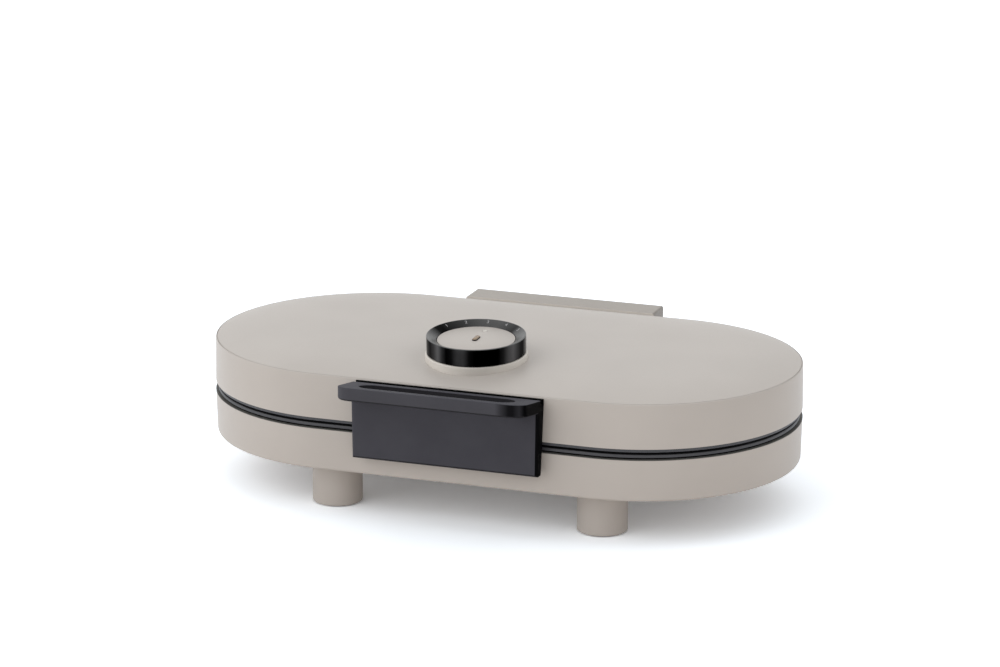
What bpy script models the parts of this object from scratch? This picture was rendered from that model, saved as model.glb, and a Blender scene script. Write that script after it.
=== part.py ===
# Double waffle maker: a long base with round ends on four feet, a hinged lid of the same outline,
# two round moulds side by side, one turning dial on the lid and a black grip at the front.
# Metres, +Z up, +X to the right, the grip towards -Y. The origin is under the middle of the whole box.

import math

import bmesh
import bpy
from mathutils import Matrix, Vector

# Outline of the body, seen from above: a straight middle with two half-round ends
body_length = 0.440
body_width = 0.236
end_radius = body_width / 2
half_straight = body_length / 2 - end_radius
arc_steps = 20

# Clearances
fit_gap = 0.0003
turn_gap = 0.0004
overrun = 0.002
merge_distance = 0.000003

# Casings
shell_wall = 0.0025
base_height = 0.030
base_inset = 0.0007
base_draft = 0.0011
base_round = 0.0020
lid_height = 0.032
lid_round = 0.0015
crown_rise = 0.0086
crown_power = 4
crown_inset_shares = (0.04, 0.10, 0.19, 0.32, 0.50, 0.72, 0.95)

# Feet
foot_height = 0.0342
foot_radius = 0.0182
foot_end_setback = 0.119
foot_side_setback = 0.0388
foot_wall = 0.0025
foot_steps = 18
pad_radius = 0.0140
pad_thickness = 0.0022
pad_proud = 0.0006

# Screws
shank_radius = 0.0015
screw_head_radius = 0.0032
screw_head_height = 0.0020
screw_bite = 0.0060
boss_wall = 0.0020
screw_steps = 8

# Seam between base and lid, from the base upwards
bezel_thickness = 0.0016
bezel_land = 0.0200
bezel_rib_depth = 0.0070
bezel_rib_wall = 0.0018
flange_thickness = 0.0018
flange_inset = 0.0024
plate_gap = 0.0007

# Cooking plates
mould_land = 0.0250
mould_middle_land = 0.0090
mould_depth = 0.0110
mould_draft = 0.0020
plate_wall = 0.0030
peg_pitch = 0.0230
peg_base = 0.0160
peg_top = 0.0130
peg_height = 0.0075
peg_edge_margin = 0.0030
mould_steps = 30
plate_screw_inset = 0.0120

# Heating elements and the trays behind them
element_radius = 0.0032
element_ring_share = 0.645
element_open_angle = math.radians(50)
element_tail = 0.0180
element_ring_steps = 18
post_radius = 0.0050
tray_drop = 0.0090
tray_thickness = 0.0010
tray_lip = 0.0050
tray_margin = 0.0040
tray_steps = 24

# Hinge
hinge_setback = 0.0130
eye_radius = 0.0062
pin_radius = 0.0030
pin_head_radius = 0.0048
pin_head_thickness = 0.0015
ear_thickness = 0.0040
bracket_overhang = 0.0140
bracket_side_gap = 0.0042
bracket_thickness = 0.0022
bracket_drop = 0.0200
bracket_screw_share = 0.3
arm_thickness = 0.0040
arm_rise = 0.0270
arm_foot_width = 0.0160
arm_foot_thickness = 0.0022
arm_screw_share = 0.67

# Hinge cover
cover_half_width = 0.0749
cover_depth = 0.0257
cover_top_step = 0.0013
cover_drop = 0.0065
cover_wall = 0.0024
cover_boss_spread_share = 0.48
cover_boss_share = 0.6

# Grip
grip_half_width = 0.0693
grip_plate_depth = 0.0119
grip_plate_drop = 0.0222
grip_wall = 0.0026
ledge_reach = 0.0448
ledge_thickness = 0.0087
ledge_slope = 0.18
ledge_back_step = 0.0014
ledge_corner = 0.0100
ledge_corner_steps = 5
slot_half_width = 0.0575
slot_depth = 0.0205
slot_front_wall = 0.0096
grip_boss_x = 0.0450
grip_boss_share = 0.45

# Dial
dial_setback = 0.0542
dial_rise = 0.0252
dial_tilt = math.radians(3.24)
ring_radius = 0.03505
ring_height = 0.0127
ring_rim = 0.0018
ring_wall = 0.0020
ring_skirt = 0.0055
ring_roof = 0.0050
ring_clearance = 0.0005
disc_radius = 0.0280
disc_drop = 0.0034
disc_thickness = 0.0020
collar_radius = 0.0361
collar_flare = 0.0007
collar_flare_drop = 0.0060
collar_wall = 0.0014
collar_lip = 0.0040
collar_floor_drop = 0.0232
collar_floor = 0.0020
sleeve_wall = 0.0018
driver_width = 0.0080
driver_thickness = 0.0025
driver_drop = 0.0150
hub_radius = 0.0060
hub_height = 0.0045
spindle_radius = 0.0030
dial_steps = 32
dial_turn_down = math.radians(62)
dial_turn_up = math.radians(86)
driver_rest_angle = math.radians(270)

# Lamps under the disc
power_lens_length = 0.0100
power_lens_width = 0.0034
ready_lens_radius = 0.0017
ready_lens_y = 0.0186
lens_proud = 0.0003
lens_end_steps = 4
lamp_board_drop = 0.0105
lamp_board_thickness = 0.0012
lamp_board_half_width = 0.0060
lamp_board_margin = 0.0040
lamp_radius = 0.0014
disc_post_radius = 0.0013

# Thermostat
thermostat_radius = 0.0130
thermostat_height = 0.0110
thermostat_shoulder = 0.0020
sensor_radius = 0.0025

# Mains inlet, terminals and cut-out
inlet_x = 0.0850
inlet_rise = 0.0148
inlet_bore = 0.0038
inlet_radius = 0.0065
inlet_flange = 0.0090
inlet_flange_thickness = 0.0030
inlet_steps = 12
terminal_half_length = 0.0170
terminal_half_depth = 0.0080
terminal_height = 0.0120
terminal_x = 0.0160
terminal_wall_gap = 0.0140
terminal_groove = 0.0030
terminal_count = 3
fuse_radius = 0.0022
fuse_length = 0.0150

# Cooling slots under the base
vent_length = 0.0360
vent_width = 0.0030
vent_pitch = 0.0090
vent_count = 5

# Heights that follow from the sizes above
base_top = foot_height + base_height
bezel_low = base_top + fit_gap
flange_low = bezel_low + bezel_thickness + fit_gap
flange_top = flange_low + flange_thickness
parting_z = flange_top + plate_gap / 2
lid_flange_low = parting_z + plate_gap / 2
lid_bezel_low = lid_flange_low + flange_thickness + fit_gap
lid_bottom = lid_bezel_low + bezel_thickness + fit_gap
lid_top = lid_bottom + lid_height
base_floor_top = foot_height + shell_wall

# Places that follow from the sizes above
front_wall = -body_width / 2
rear_wall = body_width / 2
hinge_y = rear_wall + hinge_setback
hinge_z = parting_z
cover_back = rear_wall + cover_depth
cover_top = lid_top + cover_top_step
foot_x = body_length / 2 - foot_end_setback
foot_y = body_width / 2 - foot_side_setback
mould_radius = min(end_radius - mould_land,
                   (body_length / 2 - mould_land - mould_middle_land) / 2)
mould_x = body_length / 2 - mould_land - mould_radius
bulge_radius = mould_radius + plate_wall
element_ring_radius = element_ring_share * mould_radius
ear_x = (cover_half_width - cover_wall - bracket_side_gap - arm_foot_width - arm_thickness
         - fit_gap - ear_thickness / 2)
bracket_half_width = ear_x + bracket_overhang
cover_boss_x = cover_boss_spread_share * ear_x
dial_y = front_wall + dial_setback
dial_z = lid_top + dial_rise
inlet_z = foot_height + inlet_rise
grip_front = front_wall - fit_gap - ledge_reach
body_y = -(grip_front + cover_back) / 2


def clean_scene():
    for item in list(bpy.data.objects):
        bpy.data.objects.remove(item)


def finish(name, colour, roughness, metallic=0.0):
    """A plain material with the piece's colour, roughness and metallic value."""
    material = bpy.data.materials.new(name)
    material.use_nodes = True
    shader = material.node_tree.nodes["Principled BSDF"]
    shader.inputs["Base Color"].default_value = (*colour, 1.0)
    shader.inputs["Roughness"].default_value = roughness
    shader.inputs["Metallic"].default_value = metallic
    return material


def empty(name, place, parent=None, turn=(0, 0, 0)):
    item = bpy.data.objects.new(name, None)
    bpy.context.collection.objects.link(item)
    item.location = place
    item.rotation_euler = turn
    item.parent = parent
    return item


def add_turned(bm, outline, steps, matrix=None):
    """A profile of (radius, height) points turned about Z. One that leaves the axis is a closed loop."""
    verts = [bm.verts.new((radius, 0, height)) for radius, height in outline]
    edges = [bm.edges.new(pair) for pair in zip(verts, verts[1:])]
    if outline[0][0] > 0:
        edges.append(bm.edges.new((verts[-1], verts[0])))
    bmesh.ops.spin(bm, geom=verts + edges, cent=(0, 0, 0), axis=(0, 0, 1), dvec=(0, 0, 0),
                   angle=2 * math.pi, steps=steps, use_merge=True)
    island = island_of(verts[0].link_faces[0])
    bmesh.ops.remove_doubles(bm, verts=island, dist=merge_distance)
    island = island_of(next(face for vert in island if vert.is_valid for face in vert.link_faces))
    if matrix:
        bmesh.ops.transform(bm, matrix=matrix, verts=island)


def island_of(face):
    """All the vertices that hang together with a face."""
    seen, todo = set(face.verts), list(face.verts)
    while todo:
        for edge in todo.pop().link_edges:
            for vert in edge.verts:
                if vert not in seen:
                    seen.add(vert)
                    todo.append(vert)
    return list(seen)


def add_block(bm, low, high):
    low, high = Vector(low), Vector(high)
    made = bmesh.ops.create_cube(bm, size=1)
    bmesh.ops.scale(bm, vec=high - low, verts=made["verts"])
    bmesh.ops.translate(bm, vec=(low + high) / 2, verts=made["verts"])


def add_prism(bm, outline, axis, start, end):
    """An outline of two coordinates pushed along the third: (y, z) for X, (x, z) for Y, (x, y) for Z."""
    order = {"X": lambda a, b, along: (along, a, b),
             "Y": lambda a, b, along: (a, along, b),
             "Z": lambda a, b, along: (a, b, along)}[axis]
    face = bm.faces.new([bm.verts.new(order(a, b, start)) for a, b in outline])
    pushed = bmesh.ops.extrude_face_region(bm, geom=[face])
    verts = [item for item in pushed["geom"] if isinstance(item, bmesh.types.BMVert)]
    bmesh.ops.translate(bm, vec=order(0, 0, end - start), verts=verts)


def add_loft(bm, loops, ring=False):
    """Loops of equal length joined in turn. The two ends are capped, or joined to each other on a ring."""
    rows = [[bm.verts.new(point) for point in loop] for loop in loops]
    pairs = list(zip(rows, rows[1:]))
    if ring:
        pairs.append((rows[-1], rows[0]))
    else:
        bm.faces.new(rows[0])
        bm.faces.new(rows[-1])
    count = len(rows[0])
    for low, high in pairs:
        for i in range(count):
            j = (i + 1) % count
            bm.faces.new((low[i], low[j], high[j], high[i]))


def stadium(inset, z):
    """The body's outline, drawn in by inset, at height z."""
    radius = end_radius - inset
    points = []
    for side in (1, -1):
        for step in range(arc_steps + 1):
            angle = math.pi * step / arc_steps - math.pi / 2
            x = side * (half_straight + radius * math.cos(angle))
            points.append((x, side * radius * math.sin(angle), z))
    return points


def rounded_slot(half_length, half_width, steps=8):
    """A plan outline with half-round ends along X."""
    centre = half_length - half_width
    points = []
    for side in (1, -1):
        for step in range(steps + 1):
            angle = math.pi * step / steps - math.pi / 2
            x = side * (centre + half_width * math.cos(angle))
            points.append((x, side * half_width * math.sin(angle)))
    return points


def aim(place, direction):
    """Puts a piece that is turned about Z at a place, with its axis along a direction."""
    turn = Vector((0, 0, 1)).rotation_difference(Vector(direction))
    return Matrix.Translation(place) @ turn.to_matrix().to_4x4()


def rod_outline(radius, start, end):
    return [(0, start), (radius, start), (radius, end), (0, end)]


def piece(name, bm, material, parent, offset=(0, 0, 0), smooth=False):
    """Makes an object whose origin is on its parent. The mesh is drawn in the body's frame less offset."""
    bmesh.ops.recalc_face_normals(bm, faces=bm.faces)
    bmesh.ops.translate(bm, vec=-Vector(offset), verts=bm.verts)
    mesh = bpy.data.meshes.new(name)
    bm.to_mesh(mesh)
    bm.free()
    if smooth:
        mesh.shade_smooth()
        mesh.set_sharp_from_angle(angle=math.radians(35))
    item = bpy.data.objects.new(name, mesh)
    bpy.context.collection.objects.link(item)
    item.parent = parent
    if material:
        mesh.materials.append(material)
    return item


def tool(name, bm, parent, offset=(0, 0, 0)):
    """A shape that cuts or joins another piece and isn't a piece itself."""
    item = piece(name, bm, None, parent, offset)
    item.hide_render = True
    item.display_type = "WIRE"
    return item


def combine(item, operation, other):
    change = item.modifiers.new(other.name, "BOOLEAN")
    change.operation = operation
    change.object = other
    change.solver = "EXACT"


def cut(item, other):
    combine(item, "DIFFERENCE", other)


def join(item, other):
    combine(item, "UNION", other)


def screw(name, place, direction, length, material, parent, offset=(0, 0, 0)):
    """A screw whose head's outer face is at place and whose shank runs along direction."""
    bm = bmesh.new()
    outline = [(0, 0), (screw_head_radius, 0), (screw_head_radius, screw_head_height),
               (shank_radius, screw_head_height), (shank_radius, length), (0, length)]
    add_turned(bm, outline, screw_steps, aim(place, direction))
    return piece(name, bm, material, parent, offset, smooth=True)


def crown_height(inset):
    share = 1 - inset / end_radius
    return crown_rise * (1 - share ** crown_power)


clean_scene()

warm_grey = finish("warm_grey_paint", (0.56, 0.52, 0.48), 0.45)
black_plastic = finish("black_plastic", (0.02, 0.02, 0.022), 0.4)
gloss_black = finish("gloss_black_plastic", (0.008, 0.008, 0.01), 0.12)
dark_trim = finish("dark_trim", (0.07, 0.07, 0.07), 0.5)
coated_iron = finish("coated_aluminium", (0.09, 0.09, 0.09), 0.5, 0.3)
steel = finish("zinc_plated_steel", (0.55, 0.55, 0.53), 0.35, 1.0)
tray_metal = finish("aluminised_sheet", (0.6, 0.6, 0.6), 0.4, 1.0)
element_metal = finish("element_tube", (0.25, 0.22, 0.2), 0.5, 1.0)
rubber = finish("rubber", (0.03, 0.03, 0.03), 0.9)
amber = finish("amber_lens", (0.8, 0.35, 0.08), 0.2)
clear_lens = finish("pale_lens", (0.8, 0.78, 0.7), 0.2)
board_green = finish("circuit_board", (0.05, 0.2, 0.1), 0.5)
white_block = finish("white_terminal_plastic", (0.75, 0.74, 0.7), 0.5)

body = empty("body_frame", (0, body_y, 0))
hinge_place = (0, hinge_y, hinge_z)
lid_axis = empty("lid_hinge_axis", hinge_place, body)
dial_place = Vector((0, dial_y, dial_z))
dial_axis = empty("dial_axis", dial_place - Vector(hinge_place), lid_axis, (dial_tilt, 0, 0))

# Where screws sit
foot_places = {"front_left": (-foot_x, -foot_y), "front_right": (foot_x, -foot_y),
               "rear_left": (-foot_x, foot_y), "rear_right": (foot_x, foot_y)}
sides = {"left": -1, "right": 1}
boss_radius = shank_radius + fit_gap + boss_wall
bore_radius = shank_radius + fit_gap
grip_boss_z = lid_bottom + grip_boss_share * lid_height
cover_boss_z = lid_bottom + cover_boss_share * lid_height
arm_screw_x = ear_x + ear_thickness / 2 + fit_gap + arm_thickness + arm_foot_width / 2
arm_screw_z = lid_bottom + fit_gap + arm_screw_share * arm_rise
bracket_low = hinge_z - bracket_drop
bracket_top = base_top - fit_gap
bracket_screw_z = bracket_low + bracket_screw_share * (bracket_top - bracket_low)
bracket_screw_x = bracket_half_width / 3


def base_wall_inset(z):
    """How far the base's outer wall stands inside the lid's outline at a height."""
    return base_inset + base_draft * (base_top - z) / base_height


def rear_wall_place(x, z):
    """The point of the base's rear wall at x and z, and the way the wall faces there."""
    radius = end_radius - base_wall_inset(z)
    along = max(0, x - half_straight)
    away = math.sqrt(radius ** 2 - along ** 2)
    return (x, away, z), (along / radius, away / radius, 0)


def make_base_shell():
    low_inset = base_inset + base_draft
    bm = bmesh.new()
    add_loft(bm, [stadium(low_inset + base_round, foot_height),
                  stadium(low_inset, foot_height + base_round),
                  stadium(base_inset, base_top),
                  stadium(base_inset + shell_wall, base_top),
                  stadium(low_inset + shell_wall, base_floor_top)])
    shell = piece("base_shell", bm, warm_grey, body)

    bosses = bmesh.new()
    boss_top = base_floor_top + screw_bite
    for x, y in foot_places.values():
        outline = rod_outline(boss_radius, base_floor_top - shell_wall / 2, boss_top)
        add_turned(bosses, outline, screw_steps, Matrix.Translation((x, y, 0)))
    join(shell, tool("base_foot_bosses", bosses, body))

    holes = bmesh.new()
    for x, y in foot_places.values():
        outline = rod_outline(bore_radius, foot_height - overrun, boss_top - shell_wall / 2)
        add_turned(holes, outline, screw_steps, Matrix.Translation((x, y, 0)))
    for side in sides.values():
        add_turned(holes, rod_outline(bore_radius, -shell_wall - overrun, overrun), screw_steps,
                   aim(*rear_wall_place(side * bracket_screw_x, bracket_screw_z)))
        for step in range(vent_count):
            x = side * mould_x + (step - (vent_count - 1) / 2) * vent_pitch
            add_block(holes, (x - vent_width / 2, -vent_length / 2, foot_height - overrun),
                      (x + vent_width / 2, vent_length / 2, base_floor_top + overrun))
    add_turned(holes, rod_outline(inlet_radius + fit_gap, -shell_wall - overrun, overrun), inlet_steps,
               aim(*rear_wall_place(inlet_x, inlet_z)))
    cut(shell, tool("base_holes", holes, body))


def make_feet():
    for place, (x, y) in foot_places.items():
        recess = pad_thickness + fit_gap
        head_top = recess + screw_head_height + fit_gap
        floor_top = head_top + foot_wall
        top = foot_height - fit_gap
        head_bore = screw_head_radius + fit_gap
        bm = bmesh.new()
        outline = [(bore_radius, head_top), (bore_radius, top), (boss_radius, top),
                   (boss_radius, floor_top), (foot_radius - foot_wall, floor_top),
                   (foot_radius - foot_wall, top), (foot_radius, top), (foot_radius, pad_proud),
                   (pad_radius + fit_gap, pad_proud), (pad_radius + fit_gap, recess),
                   (head_bore, recess), (head_bore, head_top)]
        add_turned(bm, outline, foot_steps, Matrix.Translation((x, y, 0)))
        piece("foot_" + place, bm, warm_grey, body, smooth=True)
        pad = bmesh.new()
        add_turned(pad, rod_outline(pad_radius, 0, pad_thickness), foot_steps,
                   Matrix.Translation((x, y, 0)))
        piece("foot_pad_" + place, pad, rubber, body, smooth=True)
        screw_low = recess + fit_gap / 2
        length = base_floor_top + screw_bite - shell_wall - screw_low
        screw("foot_screw_" + place, (x, y, screw_low), (0, 0, 1), length, steel, body)


def plate_screw_places():
    reach = end_radius - plate_screw_inset
    return {"front": (0, -reach), "rear": (0, reach)}


def make_bezel(name, low, outer_inset, up, wall_inset, material, parent, offset):
    """A flat frame round the seam with a rib inside the casing's wall. up is +1 where the rib points up."""
    high = low + bezel_thickness
    face, back = (low, high) if up > 0 else (high, low)
    rib_outer = wall_inset + shell_wall + fit_gap
    bm = bmesh.new()
    add_loft(bm, [stadium(outer_inset, face), stadium(outer_inset, back), stadium(rib_outer, back),
                  stadium(rib_outer, back + up * bezel_rib_depth),
                  stadium(rib_outer + bezel_rib_wall, back + up * bezel_rib_depth),
                  stadium(rib_outer + bezel_rib_wall, back), stadium(bezel_land, back),
                  stadium(bezel_land, face)], ring=True)
    frame = piece(name, bm, material, parent, offset)
    holes = bmesh.new()
    for x, y in plate_screw_places().values():
        add_turned(holes, rod_outline(boss_radius + fit_gap, low - overrun, high + overrun), screw_steps,
                   Matrix.Translation((x, y, 0)))
    cut(frame, tool(name + "_holes", holes, parent, offset))


def add_peg(bm, x, y, root, tip, sink):
    """A tapered square peg on a mould's floor, sunk a little into it."""
    slope = (peg_base - peg_top) / 2 / abs(tip - root)
    direction = 1 if tip > root else -1
    levels = ((root - direction * sink, peg_base / 2 + slope * sink), (tip, peg_top / 2))
    rows = []
    for z, half in levels:
        rows.append([(x - half, y - half, z), (x + half, y - half, z),
                     (x + half, y + half, z), (x - half, y + half, z)])
    add_loft(bm, rows)


def peg_places():
    """Square pockets' pegs that fit whole inside the round mould's floor."""
    limit = mould_radius - mould_draft - peg_edge_margin
    reach = int(mould_radius / peg_pitch) + 1
    places = []
    for i in range(-reach, reach + 1):
        for j in range(-reach, reach + 1):
            x, y = (i + 0.5) * peg_pitch, (j + 0.5) * peg_pitch
            if math.hypot(abs(x) + peg_base / 2, abs(y) + peg_base / 2) <= limit:
                places.append((x, y))
    return places


def make_plate(name, rim, up, parent, offset):
    """A die-cast plate with two round moulds. rim is its cooking face, up the direction to its casing."""
    back = rim + up * flange_thickness
    floor = rim + up * mould_depth
    underside = floor + up * plate_wall
    bm = bmesh.new()
    add_loft(bm, [stadium(flange_inset, rim), stadium(flange_inset, back)])
    plate = piece(name, bm, coated_iron, parent, offset)

    bulges = bmesh.new()
    middle = (rim + back) / 2
    post_end = underside + up * (tray_drop - fit_gap)
    boss_end = back + up * (bezel_thickness + 2 * fit_gap + screw_bite)
    for side in sides.values():
        add_turned(bulges, [(0, middle), (bulge_radius, middle), (bulge_radius - mould_draft, underside),
                            (post_radius, underside), (post_radius, post_end), (0, post_end)],
                   mould_steps, Matrix.Translation((side * mould_x, 0, 0)))
    for x, y in plate_screw_places().values():
        add_turned(bulges, rod_outline(boss_radius, middle, boss_end), screw_steps,
                   Matrix.Translation((x, y, 0)))
    join(plate, tool(name + "_bulges", bulges, parent, offset))

    hollows = bmesh.new()
    for side in sides.values():
        slope = mould_draft / mould_depth
        add_turned(hollows, [(0, rim - up * overrun), (mould_radius + slope * overrun, rim - up * overrun),
                             (mould_radius - mould_draft, floor), (0, floor)],
                   mould_steps, Matrix.Translation((side * mould_x, 0, 0)))
    for x, y in plate_screw_places().values():
        add_turned(hollows, rod_outline(bore_radius, back, boss_end + up * overrun), screw_steps,
                   Matrix.Translation((x, y, 0)))
    cut(plate, tool(name + "_hollows", hollows, parent, offset))

    pegs = bmesh.new()
    for side in sides.values():
        for x, y in peg_places():
            add_peg(pegs, side * mould_x + x, y, floor, floor - up * peg_height, plate_wall / 4)
    join(plate, tool(name + "_pegs", pegs, parent, offset))

    for place, (x, y) in plate_screw_places().items():
        head = boss_end + up * (fit_gap + screw_head_height)
        screw(name + "_screw_" + place, (x, y, head), (0, 0, -up), screw_head_height + screw_bite,
              steel, parent, offset)


def make_element(name, side, plate_back, up, parent, offset):
    """A tubular heating element: an open ring under the mould whose ends turn out to the back."""
    centre_z = plate_back + up * (fit_gap + element_radius)
    start = math.pi / 2 + element_open_angle / 2
    sweep = 2 * math.pi - element_open_angle
    points = []
    for step in range(element_ring_steps + 1):
        angle = start + sweep * step / element_ring_steps
        points.append((side * mould_x + element_ring_radius * math.cos(angle),
                       element_ring_radius * math.sin(angle)))
    first, last = points[0], points[-1]
    points = [(first[0], first[1] + element_tail)] + points + [(last[0], last[1] + element_tail)]
    curve = bpy.data.curves.new(name, "CURVE")
    curve.dimensions = "3D"
    curve.bevel_depth = element_radius
    curve.bevel_resolution = 1
    curve.use_fill_caps = True
    spline = curve.splines.new("POLY")
    spline.points.add(len(points) - 1)
    for point, (x, y) in zip(spline.points, points):
        place = Vector((x, y, centre_z)) - Vector(offset)
        point.co = (*place, 1)
    curve.materials.append(element_metal)
    item = bpy.data.objects.new(name, curve)
    bpy.context.collection.objects.link(item)
    item.parent = parent


def make_tray(name, side, plate_back, up, parent, offset):
    """A round sheet tray behind the element that throws its heat back."""
    near = plate_back + up * tray_drop
    far = near + up * tray_thickness
    lip = near - up * tray_lip
    radius = bulge_radius - mould_draft + tray_margin - fit_gap
    bm = bmesh.new()
    outline = [(0, far), (radius, far), (radius, lip), (radius - tray_thickness, lip),
               (radius - tray_thickness, near), (0, near)]
    add_turned(bm, outline, tray_steps, Matrix.Translation((side * mould_x, 0, 0)))
    piece(name, bm, tray_metal, parent, offset, smooth=True)


def make_cooking_half(prefix, rim, up, parent, offset):
    make_plate(prefix + "_plate", rim, up, parent, offset)
    plate_back = rim + up * (mould_depth + plate_wall)
    for label, side in sides.items():
        make_element(prefix + "_heater_" + label, side, plate_back, up, parent, offset)
        make_tray(prefix + "_reflector_" + label, side, plate_back, up, parent, offset)


def arc(radius, start, end, steps):
    """Points of an arc about the hinge's axis in the (y, z) plane, angles in degrees from +Y towards +Z."""
    points = []
    for step in range(steps + 1):
        angle = math.radians(start + (end - start) * step / steps)
        points.append((hinge_y + radius * math.cos(angle), hinge_z + radius * math.sin(angle)))
    return points


def make_hinge_bracket():
    """A steel plate on the base's rear wall with two ears that hold the pins."""
    plate_front = rear_wall - base_inset + fit_gap
    plate_back = plate_front + bracket_thickness
    bm = bmesh.new()
    add_block(bm, (-bracket_half_width, plate_front, bracket_low),
              (bracket_half_width, plate_back, bracket_top))
    bracket = piece("hinge_bracket", bm, steel, body)
    ears = bmesh.new()
    root = plate_front + bracket_thickness / 4
    for side in sides.values():
        outline = [(root, bracket_low + overrun), (plate_back, bracket_low + overrun),
                   (plate_back, hinge_z - eye_radius - overrun)]
        outline += arc(eye_radius, -130, 90, 10)
        outline += [(root, hinge_z)]
        add_prism(ears, outline, "X", side * ear_x - ear_thickness / 2, side * ear_x + ear_thickness / 2)
    join(bracket, tool("bracket_ears", ears, body))
    holes = bmesh.new()
    reach = ear_x + ear_thickness
    add_turned(holes, rod_outline(pin_radius + fit_gap, -reach, reach), inlet_steps,
               aim((0, hinge_y, hinge_z), (1, 0, 0)))
    for side in sides.values():
        add_turned(holes, rod_outline(bore_radius, -overrun, bracket_thickness + overrun), screw_steps,
                   aim((side * bracket_screw_x, plate_front, bracket_screw_z), (0, 1, 0)))
    cut(bracket, tool("bracket_holes", holes, body))
    for label, side in sides.items():
        head = plate_back + fit_gap + screw_head_height
        screw("bracket_screw_" + label, (side * bracket_screw_x, head, bracket_screw_z), (0, -1, 0),
              screw_head_height + fit_gap + bracket_thickness + screw_bite, steel, body)
        inner = ear_x - ear_thickness / 2 - fit_gap
        outer = ear_x + ear_thickness / 2 + 2 * fit_gap + arm_thickness
        bm = bmesh.new()
        outline = [(0, inner - pin_head_thickness), (pin_head_radius, inner - pin_head_thickness),
                   (pin_head_radius, inner), (pin_radius, inner), (pin_radius, outer), (0, outer)]
        add_turned(bm, outline, inlet_steps, aim((0, hinge_y, hinge_z), (side, 0, 0)))
        piece("hinge_pin_" + label, bm, steel, body, smooth=True)


def make_lid_arms():
    """The lid's two hinge arms: an eye on the pin, a web and a foot screwed to the lid's rear wall."""
    foot_front = rear_wall + fit_gap
    foot_back = foot_front + arm_foot_thickness
    foot_low = lid_bottom + fit_gap
    foot_top = foot_low + arm_rise
    for label, side in sides.items():
        inner = ear_x + ear_thickness / 2 + fit_gap
        bm = bmesh.new()
        outline = [(foot_front, foot_top), (foot_front, foot_low)] + arc(eye_radius, -140, 90, 10)
        outline += [(foot_back, hinge_z + 2 * eye_radius), (foot_back, foot_top)]
        add_prism(bm, outline, "X", side * inner, side * (inner + arm_thickness))
        arm = piece("lid_arm_" + label, bm, steel, lid_axis, hinge_place)
        foot = bmesh.new()
        ends = sorted((side * (inner + arm_thickness / 2), side * (inner + arm_thickness + arm_foot_width)))
        add_block(foot, (ends[0], foot_front, foot_low), (ends[1], foot_back, foot_top))
        join(arm, tool("lid_arm_foot_" + label, foot, lid_axis, hinge_place))
        holes = bmesh.new()
        bore_end = inner + arm_thickness + overrun
        add_turned(holes, rod_outline(pin_radius + fit_gap, inner - overrun, bore_end), inlet_steps,
                   aim((0, hinge_y, hinge_z), (side, 0, 0)))
        add_turned(holes, rod_outline(bore_radius, -overrun, arm_foot_thickness + overrun), screw_steps,
                   aim((side * arm_screw_x, foot_front, arm_screw_z), (0, 1, 0)))
        cut(arm, tool("lid_arm_holes_" + label, holes, lid_axis, hinge_place))
        head = foot_back + fit_gap + screw_head_height
        screw("arm_screw_" + label, (side * arm_screw_x, head, arm_screw_z), (0, -1, 0),
              screw_head_height + fit_gap + arm_foot_thickness + screw_bite, steel, lid_axis, hinge_place)


def make_hinge_cover():
    """A box over the hinge, open in front and below, cut back in front to clear the base as it swings."""
    front = rear_wall + fit_gap
    low = hinge_z - cover_drop
    swing = hinge_setback - 2 * fit_gap
    start = -180 + math.degrees(math.asin(cover_drop / swing))
    outline = [(front, cover_top), (front, lid_bottom)] + arc(swing, -180, start, 4)
    outline += [(cover_back, low), (cover_back, cover_top)]
    bm = bmesh.new()
    add_prism(bm, outline, "X", -cover_half_width, cover_half_width)
    cover = piece("hinge_cover", bm, warm_grey, lid_axis, hinge_place)
    hollow = bmesh.new()
    add_block(hollow, (-cover_half_width + cover_wall, front - hinge_setback, low - overrun),
              (cover_half_width - cover_wall, cover_back - cover_wall, cover_top - cover_wall))
    cut(cover, tool("cover_hollow", hollow, lid_axis, hinge_place))
    bosses, holes = bmesh.new(), bmesh.new()
    back = cover_back - cover_wall
    for side in sides.values():
        place = (side * cover_boss_x, front, cover_boss_z)
        add_turned(bosses, rod_outline(boss_radius, 0, back - front + cover_wall / 2), screw_steps,
                   aim(place, (0, 1, 0)))
        add_turned(holes, rod_outline(bore_radius, -overrun, back - front - cover_wall), screw_steps,
                   aim(place, (0, 1, 0)))
    join(cover, tool("cover_bosses", bosses, lid_axis, hinge_place))
    cut(cover, tool("cover_bores", holes, lid_axis, hinge_place))
    for label, side in sides.items():
        inside = rear_wall - shell_wall - fit_gap - screw_head_height
        screw("cover_screw_" + label, (side * cover_boss_x, inside, cover_boss_z), (0, 1, 0),
              screw_head_height + shell_wall + screw_bite, steel, lid_axis, hinge_place)


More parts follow.
